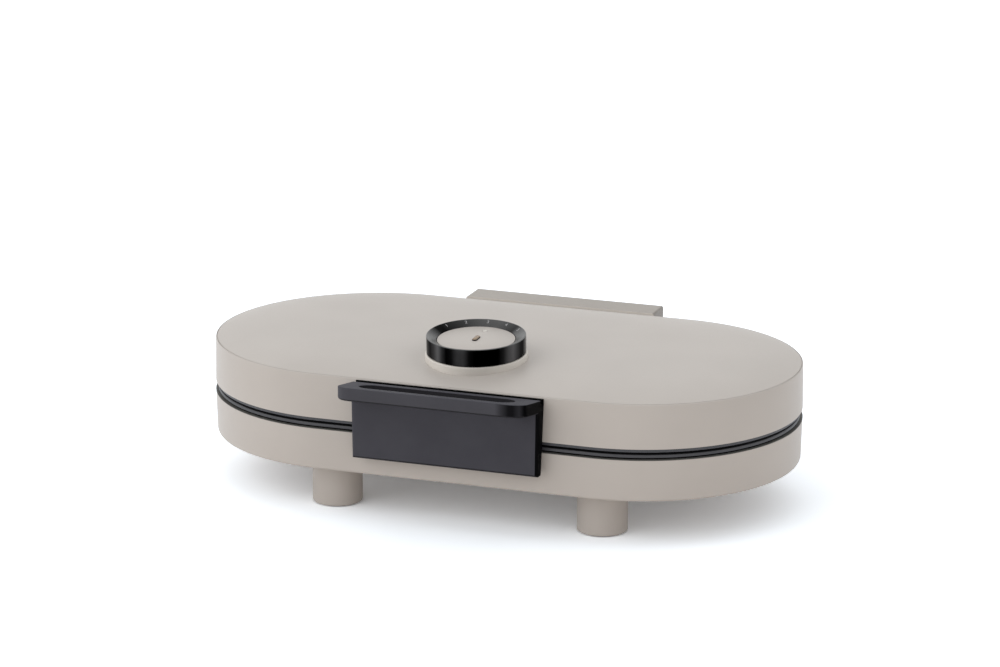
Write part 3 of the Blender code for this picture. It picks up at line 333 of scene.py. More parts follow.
finishLooks = {
    # two-pack satin paint on a moulded casing: a calm warm tone, a faint orange peel, a soft sheen
    "satinGreigePaint": {"colour": "#bfb9b3", "second": "#bbb5af", "patchMm": 60, "grainMm": 1.1,
                         "grainHeightMm": 0.004, "roughness": (0.40, 0.50), "shader": {"IOR": 1.5}},
    # paler greige ABS: the dial's collar, with painted shade in the middle of its front; on the cover's
    # front edge the paler colour is painted light
    "paleAbsPaintedLightAndShade": {**fineGrain, "colour": "#dad4cc", "second": "#d6d0c8", "grainHeightMm": 0.004,
                      "roughness": (0.36, 0.46), "shader": {"IOR": 1.53},
                      "tones": paintedLightRoundDial((0, 1), (0.18, 1), (0.244, 0.88), (0.283, 0.76),
                                              (0.333, 0.74), (0.388, 0.84), (0.444, 0.94), (0.513, 1),
                                              (1, 1))},
    # the hinge cover's greige ABS: a tone darker than the painted casings, fine matt grain, with painted
    # shade on its right end
    "greigeAbs": {**fineGrain, "colour": "#a49e97", "second": "#a09a93", "grainHeightMm": 0.008,
                  "roughness": (0.45, 0.58), "shader": {"IOR": 1.53},
                  "tones": paintedShadeToRight(54.9 * mm, (0, 1), (0.9, 1), (0.98, 0.7), (1, 0.7))},
    # glass-filled nylon moulded in a sparked tool: almost black, fine matt grain
    "sparkGrainBlackNylon": {**sparkGrain, "colour": "#404047", "second": "#44444b",
                             "shader": {"IOR": 1.5, "Specular IOR Level": 0.14}},
    # the same nylon with painted shade: the finger slot and what looks down
    "shadedBlackNylon": {**sparkGrain, "colour": "#19181c", "second": "#1d1c20",
                         "shader": {"IOR": 1.5, "Specular IOR Level": 0.14}},
    # the same nylon painted almost black as deepest shade: the grip's ends and groove, the plate's right
    # edge, the lid frame's skirt and the neck between the dark rims
    "darkestBlackNylon": {**sparkGrain, "colour": "#040405", "second": "#060607",
                          "shader": {"IOR": 1.5, "Specular IOR Level": 0.03}},
    # and along the ledge's front wall, with painted shade deepening round its right corner and a painted
    # highlight band in it
    "cornerBlackNylon": {**sparkGrain, "colour": "#434349", "second": "#47474d",
                         "tones": paintedShadeToRight(50 * mm, (0, 1), (0.22, 0.5), (0.48, 0.12), (0.64, 0.12),
                                               (0.83, 0.38), (0.94, 0.06), (1, 0.01)),
                         "shader": {"IOR": 1.5, "Specular IOR Level": 0.14}},
    # polished black ABS: deep black from in front, a soft shine along its edges
    "polishedBlackAbs": {**toolPolish, "colour": "#030304", "second": "#050506",
                         "roughness": (0.10, 0.16), "shader": {"IOR": 1.54, "Specular IOR Level": 0.15}},
    # and round the dial's wall, with painted reflections in upright bands
    "blackAbsPaintedReflections": {**toolPolish, "colour": "#555557", "second": "#58585a",
                       "tones": paintedLightRoundDial((0, 0.3), (0.06, 0.7), (0.09, 0.12), (0.122, 0.05),
                                               (0.145, 0.32), (0.166, 1), (0.185, 0.22), (0.203, 0.01),
                                               (0.224, 0.05), (0.243, 0.38), (0.263, 0.42), (0.282, 0.04),
                                               (0.3, 0), (0.38, 0), (0.399, 0.12), (0.419, 0.68),
                                               (0.438, 1), (0.458, 0.45), (0.477, 0.1), (0.496, 0.05),
                                               (0.516, 0.35), (0.535, 0.65), (1, 0.3)),
                       "roughness": (0.12, 0.18), "shader": {"IOR": 1.54, "Specular IOR Level": 0.15}},
    # the dial's scale face: the same ABS with a fine turned finish, paler, with light and dark sectors of
    # painted reflection
    "turnedAbsPaintedReflections": {"colour": "#3a3b3b", "second": "#404141", "patchMm": 12, "grainMm": 0.6,
                       "grainHeightMm": 0.006, "roughness": (0.26, 0.38),
                       "tones": paintedLightRoundDial((0, 0.38), (0.05, 1), (0.56, 0.95), (0.61, 0.7),
                                               (0.638, 0.14), (0.72, 0.8), (0.78, 0.8), (0.86, 0.32),
                                               (0.94, 0.03), (0.97, 0.03), (1, 0.38)),
                       "shader": {"IOR": 1.54, "Specular IOR Level": 0.6}},
    # sprayed non-stick coat on die-cast aluminium: charcoal with pale mineral flecks
    "speckledNonstickCoat": {"colour": "#37373a", "second": "#434346", "patchMm": 14, "grainMm": 0.9,
                             "grainHeightMm": 0.020, "roughness": (0.34, 0.50),
                             "fleck": {"pitchMm": 1.5, "size": 0.30, "coreShare": 0.6, "colour": "#77777a"},
                             "shader": {"IOR": 1.4, "Metallic": 0.15}},
    # heat-proof phenolic rim: dark grey, slightly chalky
    "mouldedPhenolic": {**chalkyGrain, "colour": "#303034", "second": "#39393d",
                        "roughness": (0.40, 0.55)},
    # the same rim's ledge, painted paler as light where it looks up and out
    "paintedLightPhenolic": {**chalkyGrain, "colour": "#54534f", "second": "#5d5c58",
                      "roughness": (0.45, 0.60)},
    # bright zinc plating on pressed steel: cool, with a cloudy crystal bloom
    "brightZincPlate": {"colour": "#b9bbbd", "second": "#a9a9a6", "patchMm": 6, "grainMm": 1.2,
                        "grainHeightMm": 0.004, "roughness": (0.26, 0.42), "shader": {"Metallic": 1.0}},
    # aluminised sheet steel: soft streaks along the rolling direction
    "aluminisedSheet": {"colour": "#c3c2be", "second": "#adaca8", "patchMm": 9, "grainMm": 0.8,
                        "grainHeightMm": 0.006, "roughness": (0.30, 0.46), "stretch": (0.12, 1, 1),
                        "shader": {"Metallic": 1.0}},
    # heating tube after its first firings: brown-grey oxide with bluish bands
    "firedElementTube": {"colour": "#5a4f48", "second": "#43444c", "patchMm": 12, "grainMm": 0.9,
                         "grainHeightMm": 0.010, "roughness": (0.42, 0.60), "shader": {"Metallic": 0.8}},
    # soft black rubber: dull, a little dusty
    "softFootRubber": {"colour": "#232323", "second": "#2c2b2a", "patchMm": 5, "grainMm": 0.8,
                       "grainHeightMm": 0.020, "roughness": (0.75, 0.90), "shader": {"IOR": 1.5}},
    # unlit amber acrylic window: a muted sand tone on top, and down its sides the same acrylic painted dark
    # brown as shade
    "amberAcrylic": {**castAcrylic, "colour": "#866f52", "second": "#7f684b",
                     "roughness": (0.18, 0.26)},
    "amberAcrylicPaintedShade": {**castAcrylic, "colour": "#1d120b", "second": "#170e08",
                      "roughness": (0.30, 0.40)},
    # frosted pale acrylic: the round window, and the lamps behind both
    "frostedAcrylic": {"colour": "#d6d3cb", "second": "#cfccc4", "patchMm": 3, "grainMm": 1,
                       "grainHeightMm": 0.002, "roughness": (0.20, 0.30), "shader": {"IOR": 1.49}},
    # green glass-epoxy laminate under a gloss resist
    "glassEpoxyBoard": {"colour": "#1f5a37", "second": "#27683f", "patchMm": 2.5, "grainMm": 0.6,
                        "grainHeightMm": 0.006, "roughness": (0.28, 0.42), "shader": {"IOR": 1.5}},
    # natural nylon of the terminal block and the thermostat's body: milky white, slightly waxy
    "naturalNylon": {"colour": "#dcd9ce", "second": "#d2cfc3", "patchMm": 8, "grainMm": 1.0,
                     "grainHeightMm": 0.006, "roughness": (0.40, 0.52), "shader": {"IOR": 1.53}},
    # pad-printed pale ink: flat, a touch broken at this scale
    "padPrintInk": {"colour": "#b0b0b2", "second": "#a6a6a9", "patchMm": 1.5, "grainMm": 0.6,
                    "grainHeightMm": 0.001, "roughness": (0.45, 0.60)},
}
finishes = {name: makeFinish(name, look) for name, look in finishLooks.items()}
print("materials made:", len(finishes))


# the body's outline

body = {"centreY": 9.7 * mm, "endRadius": 118 * mm, "halfStraight": 102 * mm, "sides": 192,
        "wall": 2.5 * mm}


def addStadium(name, lowInset, highInset, low, high):
    # a cone's two halves pulled apart, so both ends stay half round at any inset
    deselectAll()
    bpy.ops.mesh.primitive_cone_add(vertices=body["sides"], radius1=body["endRadius"] - lowInset,
                                    radius2=body["endRadius"] - highInset, depth=high - low,
                                    location=(0, body["centreY"], (low + high) / 2),
                                    rotation=(0, 0, math.pi / body["sides"]))
    piece = nameAndPlace(name)
    pullApart(piece, body["halfStraight"])
    return piece


def addEdgeRing(name, outline):
    # a ring along the outline, whose section is given as (inset, height) in mm
    points = [(body["endRadius"] - inset * mm, height * mm) for inset, height in outline]
    turn = Matrix.Translation((0, body["centreY"], 0)) @ Matrix.Rotation(math.pi / body["sides"], 4, "Z")
    piece = addTurned(name, points, body["sides"], turn, closed=True)
    pullApart(piece, body["halfStraight"])
    return piece


def insetOf(spot):
    # how far a place stands in from the body's outline
    reach = math.hypot(max(0.0, abs(spot.x) - body["halfStraight"]), spot.y - body["centreY"])
    return body["endRadius"] - reach


# lid

lid = {"bottom": 72.65 * mm, "top": 104.9 * mm, "draft": 0.45 * mm, "edgeRound": 0.75 * mm,
       "land": 0.85 * mm,
       "line": ((1.1, 104.3), (1.55, 104.3), (1.55, 107), (1.1, 107)),  # (inset, height) in mm
       "crown": 8.6 * mm, "power": 4,
       "ringShares": (0.013, 0.028, 0.046, 0.07, 0.10, 0.14, 0.19, 0.25, 0.32, 0.40, 0.50, 0.61, 0.73,
                      0.85, 0.95),
       "dialHole": 36.95 * mm, "dialHoleTop": -12.7 * mm, "dialHoleLow": -30 * mm, "dialHoleSteps": 96}
# the dial leans a little, and its pieces are made in this frame, with height zero at the ring's top
dial = {"y": body["centreY"] - 63.8 * mm, "z": 130.1 * mm, "tilt": math.radians(3.24)}
dialFrame = Matrix.Translation((0, dial["y"], dial["z"])) @ Matrix.Rotation(dial["tilt"], 4, "X")


def crownHeight(share):
    return lid["crown"] * (1 - (1 - share) ** lid["power"])


lidShell = addStadium("lid_casing", 0, lid["draft"], lid["bottom"], lid["top"])
startEdit(lidShell)
pick(lidShell, "faces", flatFace(lid["top"]))
bpy.ops.mesh.inset(thickness=lid["land"])
topRadius = body["endRadius"] - lid["draft"] - lid["land"]
lastShare = 0
for share in lid["ringShares"]:
    bpy.ops.mesh.inset(thickness=(share - lastShare) * topRadius)
    bpy.ops.transform.translate(value=(0, 0, crownHeight(share) - crownHeight(lastShare)))
    lastShare = share
pick(lidShell, "edges", lambda edge: bothEnds(edge, lambda spot: abs(spot.z - lid["top"]) < samePlace
                                              and insetOf(spot) < mm))
bpy.ops.mesh.bevel(offset=lid["edgeRound"], segments=4)
pick(lidShell, "faces", flatFace(lid["bottom"], -1))
bpy.ops.mesh.delete(type="FACE")
endEdit()
applyModifier(lidShell, "SOLIDIFY", thickness=body["wall"], offset=-1, use_even_offset=True)
carve(lidShell, addEdgeRing("edge_line_cut", lid["line"]))  # a fine line round the crowned panel
carve(lidShell, addRod("dial_hole", lid["dialHole"], lid["dialHoleLow"], lid["dialHoleTop"],
                       lid["dialHoleSteps"], dialFrame))
tidyMesh(lidShell, angle=24)
wear(lidShell, finishes["satinGreigePaint"], "warm_grey", "lid", "lid_shell")
print("lid casing")


# base

base = {"bottom": 34.2 * mm, "top": 64.5 * mm, "topInset": 0.05 * mm, "lowInset": 0.85 * mm,
        "edgeRound": 2.0 * mm, "ventLength": 36 * mm, "ventWidth": 3 * mm, "ventRound": 1.47 * mm,
        "ventPitch": 9 * mm, "ventCount": 5, "ventCutBelow": 2 * mm, "ventCutAbove": 5 * mm,
        "inletX": 85 * mm, "inletZ": 49 * mm, "inletRadius": 6.8 * mm, "inletCutIn": 8 * mm,
        "inletCutOut": 4 * mm, "inletSteps": 32}

baseShell = addStadium("base_casing", base["lowInset"], base["topInset"], base["bottom"], base["top"])
startEdit(baseShell)
pick(baseShell, "edges",
     lambda edge: bothEnds(edge, lambda spot: abs(spot.z - base["bottom"]) < samePlace))
bpy.ops.mesh.bevel(offset=base["edgeRound"], segments=5)
pick(baseShell, "faces", flatFace(base["top"]))
bpy.ops.mesh.delete(type="FACE")
endEdit()
applyModifier(baseShell, "SOLIDIFY", thickness=body["wall"], offset=-1, use_even_offset=True)


def cutVent(x):
    # a slot with round ends through the floor
    halfWidth, halfLength = base["ventWidth"] / 2, base["ventLength"] / 2
    cutter = addBox("vent_cut",
                    (x - halfWidth, body["centreY"] - halfLength, base["bottom"] - base["ventCutBelow"]),
                    (x + halfWidth, body["centreY"] + halfLength, base["bottom"] + base["ventCutAbove"]))
    startEdit(cutter)
    pick(cutter, "edges", lambda edge: abs(edge.verts[0].co.z - edge.verts[1].co.z) > mm)
    bpy.ops.mesh.bevel(offset=base["ventRound"], segments=5)
    endEdit()
    carve(baseShell, cutter)


for side in (-1, 1):
    for step in range(base["ventCount"]):
        fromMiddle = step - (base["ventCount"] - 1) / 2
        cutVent(side * body["halfStraight"] + fromMiddle * base["ventPitch"])
inletTurn = Matrix.Translation((base["inletX"], body["centreY"] + body["endRadius"], base["inletZ"]))
carve(baseShell, addRod("inlet_cut", base["inletRadius"], -base["inletCutIn"], base["inletCutOut"],
                        base["inletSteps"], inletTurn @ Matrix.Rotation(-math.pi / 2, 4, "X")))
tidyMesh(baseShell, angle=24)
wear(baseShell, finishes["satinGreigePaint"], "warm_grey", "base", "base_shell")
print("base casing")

feet = {"x": 101 * mm, "y": 79.2 * mm, "radius": 18.2 * mm, "low": 0.6 * mm, "edgeRound": 1.0 * mm,
        "roundShares": ((1, 0), (0.62, 0.08), (0.3, 0.3), (0.08, 0.62), (0, 1)),
        "recessRadius": 14.3 * mm, "recess": 2.5 * mm, "recessEdge": 0.3 * mm, "topGap": 0.3 * mm,
        "steps": 72}
# up the pad's recess, round the foot's edge and up its wall
footOutline = [(feet["recessRadius"], feet["recess"]),
               (feet["recessRadius"], feet["low"] + feet["recessEdge"]),
               (feet["recessRadius"] + feet["recessEdge"], feet["low"])]
footOutline += roundOff(feet["radius"], feet["low"], feet["edgeRound"], feet["roundShares"])
footOutline += [(feet["radius"], base["bottom"] - feet["topGap"])]
for label, sideX, sideY in (("front_left", -1, -1), ("front_right", 1, -1),
                            ("rear_left", -1, 1), ("rear_right", 1, 1)):
    stand = Matrix.Translation((sideX * feet["x"], body["centreY"] + sideY * feet["y"], 0))
    foot = addTurned("foot_casing_" + label, footOutline, feet["steps"], stand)
    wear(foot, finishes["satinGreigePaint"], "warm_grey", "base", "foot_" + label)
print("feet")


# seam: dark frames and cooking plates

# (inset, height) in mm: a thin ledge, a shadow neck and a head in front of the lower plate's flange
baseFrameOutline = ((0.15, 64.6), (0, 64.7), (0, 64.85), (0.15, 64.95), (2.9, 64.95), (2.9, 65.95),
                    (2.05, 66.0), (1.9, 66.15), (1.9, 67.7), (2.0, 67.95), (2.3, 68.2), (3.2, 68.2),
                    (3.2, 65.8), (20, 65.8), (20, 64.5), (6.4, 64.5), (6.4, 57.5), (4.6, 57.5), (4.6, 64.6))
# the lid's frame hangs a lip in front of the upper plate's flange, and a thin skirt behind the gap
lidFrameOutline = ((1.45, 72.6), (1.3, 72.45), (1.3, 70.5), (1.4, 70.25), (1.7, 70.1), (2.4, 70.1),
                   (2.4, 68.45), (2.85, 68.45), (2.85, 71.0), (20, 71.0), (20, 72.5), (4.6, 72.5),
                   (4.6, 79.6), (3.0, 79.6), (3.0, 72.6))
seam = {"plateInset": 3.4 * mm, "plateThickness": 1.8 * mm, "plateEdge": 0.4 * mm,
        "lowerPlateTop": 68.2 * mm, "upperPlateLow": 68.9 * mm,
        "ledgeTop": 65 * mm, "ledgeInset": 2.95 * mm,
        "neckLow": 65.1 * mm, "neckTop": 66.05 * mm, "neckFront": 2.0 * mm, "neckBack": 3.1 * mm,
        "skirtTop": 70.15 * mm, "skirtInset": 1.9 * mm}


def onNeck(face):
    return (seam["neckLow"] < face.center.z < seam["neckTop"]
            and seam["neckFront"] < insetOf(face.center) < seam["neckBack"])


def onLedge(face):
    return (face.center.z < seam["ledgeTop"] and face.normal.z > -mostly
            and insetOf(face.center) < seam["ledgeInset"])


def onSkirt(face):
    return face.center.z < seam["skirtTop"] and insetOf(face.center) > seam["skirtInset"]


baseFrame = addEdgeRing("base_rim_frame", baseFrameOutline)
wear(baseFrame, finishes["mouldedPhenolic"], "dark_trim", "base", "base_bezel")
# the neck is painted almost black as shade, the ledge paler as painted light
wearPartly(baseFrame, finishes["darkestBlackNylon"], onNeck)
wearPartly(baseFrame, finishes["paintedLightPhenolic"], onLedge)
lidFrame = addEdgeRing("lid_rim_frame", lidFrameOutline)
wear(lidFrame, finishes["mouldedPhenolic"], "dark_trim", "lid", "lid_bezel")
# the skirt behind the gap is painted almost black as shade
wearPartly(lidFrame, finishes["darkestBlackNylon"], onSkirt)

mould = {"radius": 93 * mm, "depth": 11 * mm, "draft": 2 * mm, "wall": 3 * mm, "pitch": 23 * mm,
         "pegBase": 16 * mm, "pegTop": 13 * mm, "pegHeight": 7.5 * mm, "pegRound": 1.3 * mm,
         "pegSunk": 1 * mm, "edgeMargin": 3 * mm, "pegReach": 88 * mm,
         "floorRound": 2.0 * mm, "floorShares": ((1, 0), (0.45, 0.09), (0.08, 0.38), (-0.3, 1)),
         "rimRound": 0.8 * mm, "rimShares": ((0.4, 1), (0.25, 0.3), (0, 0.02)),
         "hub": 1 * mm, "clearance": 0.2 * mm, "cutDepth": 5 * mm, "overlap": 0.4 * mm,
         "overlapDrop": 0.01 * mm, "steps": 128}


def pegPlaces():
    # a grid about the mould's middle, without the pegs that the round edge would cut to slivers
    reach = int(mould["radius"] / mould["pitch"]) + 1
    rows = [(row + 0.5) * mould["pitch"] for row in range(-reach, reach)]
    return [(x, y) for x in rows for y in rows if math.hypot(x, y) < mould["pegReach"]]


def bowlOutline():
    # along the mould's inside from its hub to the rim, over it and back along the outside
    edge, deep, skin = mould["radius"], mould["depth"], mould["wall"]
    foot, over = edge - mould["draft"], edge + mould["overlap"]
    corner, under = mould["floorRound"], -seam["plateThickness"]
    return [(mould["hub"], -deep), *roundOff(foot, -deep, corner, mould["floorShares"]),
            *roundOff(edge, 0, mould["rimRound"], mould["rimShares"], -1),
            (over, -mould["overlapDrop"]), (over, under), (edge + skin, under),
            (foot + skin, -deep - skin + corner), (foot + skin - corner, -deep - skin),
            (mould["hub"], -deep - skin)]


def addPegs(centreX, centreY):
    # truncated square pegs, cut off along the mould's round edge
    half, share = mould["pegBase"] / 2, mould["pegTop"] / mould["pegBase"]
    low, top = -mould["depth"] - mould["pegSunk"], -mould["depth"] + mould["pegHeight"]
    pegs = []
    for x, y in pegPlaces():
        x, y = x + centreX, y + centreY
        peg = addBox("peg", (x - half, y - half, low), (x + half, y + half, top))
        startEdit(peg)
        pick(peg, "faces", flatFace(top))
        bpy.ops.transform.resize(value=(share, share, 1))
        endEdit()
        pegs.append(peg)
    joinInto(pegs[0], pegs[1:])
    reach = mould["radius"] - mould["draft"] - mould["edgeMargin"]
    carve(pegs[0], addRod("peg_cut", reach, -2 * mould["depth"], mould["depth"], mould["steps"],
                          Matrix.Translation((centreX, centreY, 0))), "INTERSECT")
    softenEdges(pegs[0], mould["pegRound"])
    return pegs[0]


def addPlate(name, faceHeight, facesDown):
    # the plate is made with its moulds looking up at height zero, then turned over where needed
    flange = addStadium(name, seam["plateInset"], seam["plateInset"], -seam["plateThickness"], 0)
    softenEdges(flange, seam["plateEdge"])
    centres = [Matrix.Translation((side * body["halfStraight"], body["centreY"], 0)) for side in (-1, 1)]
    for centre in centres:
        carve(flange, addRod("mould_cut", mould["radius"] + mould["clearance"], -mould["cutDepth"],
                             mould["cutDepth"], mould["steps"], centre))
    parts = []
    for side, centre in zip((-1, 1), centres):
        parts.append(addTurned("bowl", bowlOutline(), mould["steps"], centre))
        parts.append(addPegs(side * body["halfStraight"], body["centreY"]))
    joinInto(flange, parts)
    activate(flange)
    flange.location = (0, 0, faceHeight)
    if facesDown:
        flange.rotation_euler = (math.pi, 0, 0)
        flange.location.y = 2 * body["centreY"]
    bpy.ops.object.transform_apply(location=True, rotation=True, scale=True)
    tidyMesh(flange, angle=35)
    return flange


lowerPlate = addPlate("lower_waffle_plate", seam["lowerPlateTop"], False)
wear(lowerPlate, finishes["speckledNonstickCoat"], "coated_aluminium", "base", "lower_plate")
upperPlate = addPlate("upper_waffle_plate", seam["upperPlateLow"], True)
wear(upperPlate, finishes["speckledNonstickCoat"], "coated_aluminium", "lid", "upper_plate")
print("seam frames and plates")


# grip

grip = {"halfWidth": 70.2 * mm, "back": body["centreY"] - 118.3 * mm, "low": 49.6 * mm,
        "ledgeTop": 103.5 * mm, "ledgeReach": 44.8 * mm, "ledgeThickness": 9.6 * mm, "slope": 0.168,
        "corner": 12.4 * mm, "ledgeUnderRound": 2.0 * mm, "topRound": 0.8 * mm,
        "slotHalf": 57.5 * mm, "slotDepth": 20.5 * mm, "slotWall": 9.6 * mm, "slotCut": 60 * mm,
        "slotSteps": 48, "grooveFront": 6.5 * mm, "grooveBack": 0.9 * mm, "grooveDeep": 3.0 * mm,
        "rib": 0.55 * mm, "ribDeep": 4 * mm, "plateDepth": 11.9 * mm, "plateDraft": 0.6 * mm,
        "plateLean": 4 * mm, "plateRound": 3.0 * mm, "plateIn": 0.05 * mm, "wall": 2.6 * mm,
        "hollowBelowLedge": 2 * mm, "overcut": 2 * mm, "near": 0.1 * mm,
        # shares of the normal from which a face looks forwards or right, up or down, or to an end
        "cornerNormal": 0.3, "flatNormal": 0.6, "endNormal": 0.97, "rightEndNormal": 0.95}
gripFront = grip["back"] - grip["ledgeReach"]

ledge = addBox("grip_body", (-grip["halfWidth"], gripFront, grip["ledgeTop"] - grip["ledgeThickness"]),
               (grip["halfWidth"], grip["back"], grip["ledgeTop"]))
startEdit(ledge)
pick(ledge, "verts", lambda vert: vert.co.y < gripFront + mm)
bpy.ops.transform.translate(value=(0, 0, grip["slope"] * grip["ledgeReach"]))
pick(ledge, "edges", lambda edge: bothEnds(edge, lambda spot: spot.y < gripFront + mm)
     and staysAtOneX(edge))
bpy.ops.mesh.bevel(offset=grip["corner"], segments=10)


def ledgeUnderside(edge):
    # the lower outer edges, but not the one on the lid's wall
    highest = max(vert.co.z - grip["slope"] * (grip["back"] - vert.co.y) for vert in edge.verts)
    isLow = abs(highest - grip["ledgeTop"] + grip["ledgeThickness"]) < grip["near"]
    return isLow and not bothEnds(edge, lambda spot: spot.y > grip["back"] - mm)


pick(ledge, "edges", ledgeUnderside)
bpy.ops.mesh.bevel(offset=grip["ledgeUnderRound"], segments=4)
endEdit()
slotMiddle = gripFront + grip["slotWall"] + grip["slotDepth"] / 2
deselectAll()
bpy.ops.mesh.primitive_cylinder_add(vertices=grip["slotSteps"], radius=grip["slotDepth"] / 2,
                                    depth=grip["slotCut"], location=(0, slotMiddle, grip["ledgeTop"]),
                                    rotation=(0, 0, math.pi / grip["slotSteps"]))
slotCut = nameAndPlace("slot_cut")
pullApart(slotCut, grip["slotHalf"] - grip["slotDepth"] / 2)
carve(ledge, slotCut)
softenEdges(ledge, grip["topRound"], angle=50)
# a dark groove along the ledge, close to the lid, with a low rib behind it
carve(ledge, addBox("reveal_cut",
                    (-grip["halfWidth"] - mm, grip["back"] - grip["grooveFront"],
                     grip["ledgeTop"] - grip["grooveDeep"]),
                    (grip["halfWidth"] + mm, grip["back"] - grip["grooveBack"],
                     grip["ledgeTop"] + grip["overcut"])))
carve(ledge, addBox("rib",
                    (-grip["halfWidth"], grip["back"] - grip["grooveBack"],
                     grip["ledgeTop"] - grip["ribDeep"]),
                    (grip["halfWidth"], grip["back"], grip["ledgeTop"] + grip["rib"])), "UNION")

plateFront = grip["back"] - grip["plateDepth"]
plateHalf = grip["halfWidth"] - grip["plateIn"]
gripPlate = addBox("grip_plate", (-plateHalf, plateFront, grip["low"]),
                   (plateHalf, grip["back"], grip["ledgeTop"] - grip["ledgeThickness"] / 2))
startEdit(gripPlate)
pick(gripPlate, "verts", lambda vert: vert.co.z < grip["low"] + mm)
bpy.ops.transform.resize(value=(1 - grip["plateDraft"] / plateHalf, 1, 1))
pick(gripPlate, "verts", lambda vert: vert.co.z < grip["low"] + mm and vert.co.y > grip["back"] - mm)
bpy.ops.transform.translate(value=(0, -grip["plateLean"], 0))
pick(gripPlate, "edges", lambda edge: bothEnds(edge, lambda spot: spot.y < plateFront + mm)
     and (staysAtOneX(edge) or bothEnds(edge, lambda spot: spot.z < grip["low"] + mm)))
bpy.ops.mesh.bevel(offset=grip["plateRound"], segments=4)
endEdit()
hollowHalf = grip["halfWidth"] - grip["wall"]
carve(gripPlate, addBox("grip_hollow_cut",
                        (-hollowHalf, plateFront + grip["wall"], grip["low"] + grip["wall"]),
                        (hollowHalf, grip["back"] + grip["overcut"],
                         grip["ledgeTop"] - grip["ledgeThickness"] - grip["hollowBelowLedge"])))
carve(ledge, gripPlate, "UNION")
tidyMesh(ledge, angle=30)
wear(ledge, finishes["sparkGrainBlackNylon"], "black_plastic", "lid", "grip")


def inSlot(face):
    return (abs(face.center.x) < grip["slotHalf"] + grip["near"] and abs(face.normal.z) < mostly
            and abs(face.center.y - slotMiddle) < grip["slotDepth"] / 2 + grip["near"])


def inGroove(face):
    return (face.center.y > grip["back"] - grip["grooveFront"] - 2 * grip["near"]
            and face.center.z > grip["ledgeTop"] - grip["ribDeep"])


def onPlate(face):
    return face.center.z < grip["ledgeTop"] - grip["ledgeThickness"]


def onFrontWall(face):
    # round the ledge's front and its right corner
    looksOut = face.normal.y < -grip["cornerNormal"] or face.normal.x > grip["cornerNormal"]
    upright = abs(face.normal.z) < grip["flatNormal"]
    return looksOut and upright and not onPlate(face) and not inSlot(face)


def inDark(face):
    # painted deepest shade on both ends and the groove; the plate's right edge too
    rightFrom = mostly if onPlate(face) else grip["rightEndNormal"]
    isEnd = abs(face.normal.x) > grip["endNormal"] or face.normal.x > rightFrom
    return (isEnd or inGroove(face)) and not inSlot(face)


# painted shade round the front wall's right corner, on the slot and what looks down, and deepest on the ends
# and the groove
wearPartly(ledge, finishes["cornerBlackNylon"], onFrontWall)
wearPartly(ledge, finishes["shadedBlackNylon"], lambda face: inSlot(face) or face.normal.z < -mostly)
wearPartly(ledge, finishes["darkestBlackNylon"], inDark)
print("grip")


# hinge cover

cover = {"halfWidth": 74.9 * mm, "front": body["centreY"] + 118.3 * mm,
         "back": body["centreY"] + 143.7 * mm, "low": 62.05 * mm, "shoulder": 69 * mm, "top": 106.2 * mm,
         "setback": 2.3 * mm, "wall": 2.4 * mm, "edgeRound": 1.6 * mm, "cutFront": 10 * mm,
         "cutBelow": 5 * mm, "frontNormal": 0.7}


def coverRounds(edge):
    # the top's edges except the one on the lid, and the back's upright ones
    onTop = bothEnds(edge, lambda spot: spot.z > cover["top"] - mm)
    onFront = bothEnds(edge, lambda spot: spot.y < cover["front"] + mm)
    onBack = bothEnds(edge, lambda spot: spot.y > cover["back"] - mm)
    return onTop and not onFront or onBack and staysAtOneX(edge)


hingeCover = addBox("hinge_cover_box", (-cover["halfWidth"], cover["front"], cover["shoulder"]),
                    (cover["halfWidth"], cover["back"], cover["top"]))
startEdit(hingeCover)
pick(hingeCover, "faces", flatFace(cover["shoulder"], -1))
bpy.ops.mesh.extrude_region_move(TRANSFORM_OT_translate={"value": (0, 0, cover["low"] - cover["shoulder"])})
pick(hingeCover, "verts",
     lambda vert: vert.co.z < cover["low"] + mm and vert.co.y < cover["front"] + mm)
bpy.ops.transform.translate(value=(0, cover["setback"], 0))
pick(hingeCover, "edges", coverRounds)
bpy.ops.mesh.bevel(offset=cover["edgeRound"], segments=5)
endEdit()
hollowHalf = cover["halfWidth"] - cover["wall"]
carve(hingeCover, addBox("cover_hollow_cut",
                         (-hollowHalf, cover["front"] - cover["cutFront"], cover["low"] - cover["cutBelow"]),
                         (hollowHalf, cover["back"] - cover["wall"], cover["top"] - cover["wall"])))
tidyMesh(hingeCover, angle=30)
wear(hingeCover, finishes["greigeAbs"], "warm_grey", "lid", "hinge_cover")
# the cover's front edge is painted paler as light over its shade
wearPartly(hingeCover, finishes["paleAbsPaintedLightAndShade"], lambda face: face.normal.y < -cover["frontNormal"]
           and face.center.y < cover["front"] + mm)
print("hinge cover")


# dial

ring = {"radius": 35.7 * mm, "height": 12.7 * mm, "rim": 1.0 * mm, "inner": 28.4 * mm, "drop": 3.4 * mm,
        "edge": 0.7 * mm, "roundShares": ((0, 1), (0.09, 0.55), (0.35, 0.18), (1, 0)),
        "lowEdge": 0.4 * mm, "lip": 0.4 * mm, "lipDrop": 0.16 * mm, "innerEdge": 0.25 * mm,
        "innerRise": 0.1 * mm, "innerFall": 0.2 * mm, "skirt": 18.2 * mm, "skirtWall": 2 * mm,
        "hollowInner": 6.8 * mm, "hollowOuter": 5 * mm, "wall": 2 * mm, "slopeNormal": 0.3,
        "steps": 160}
outer, inner = ring["radius"], ring["inner"]
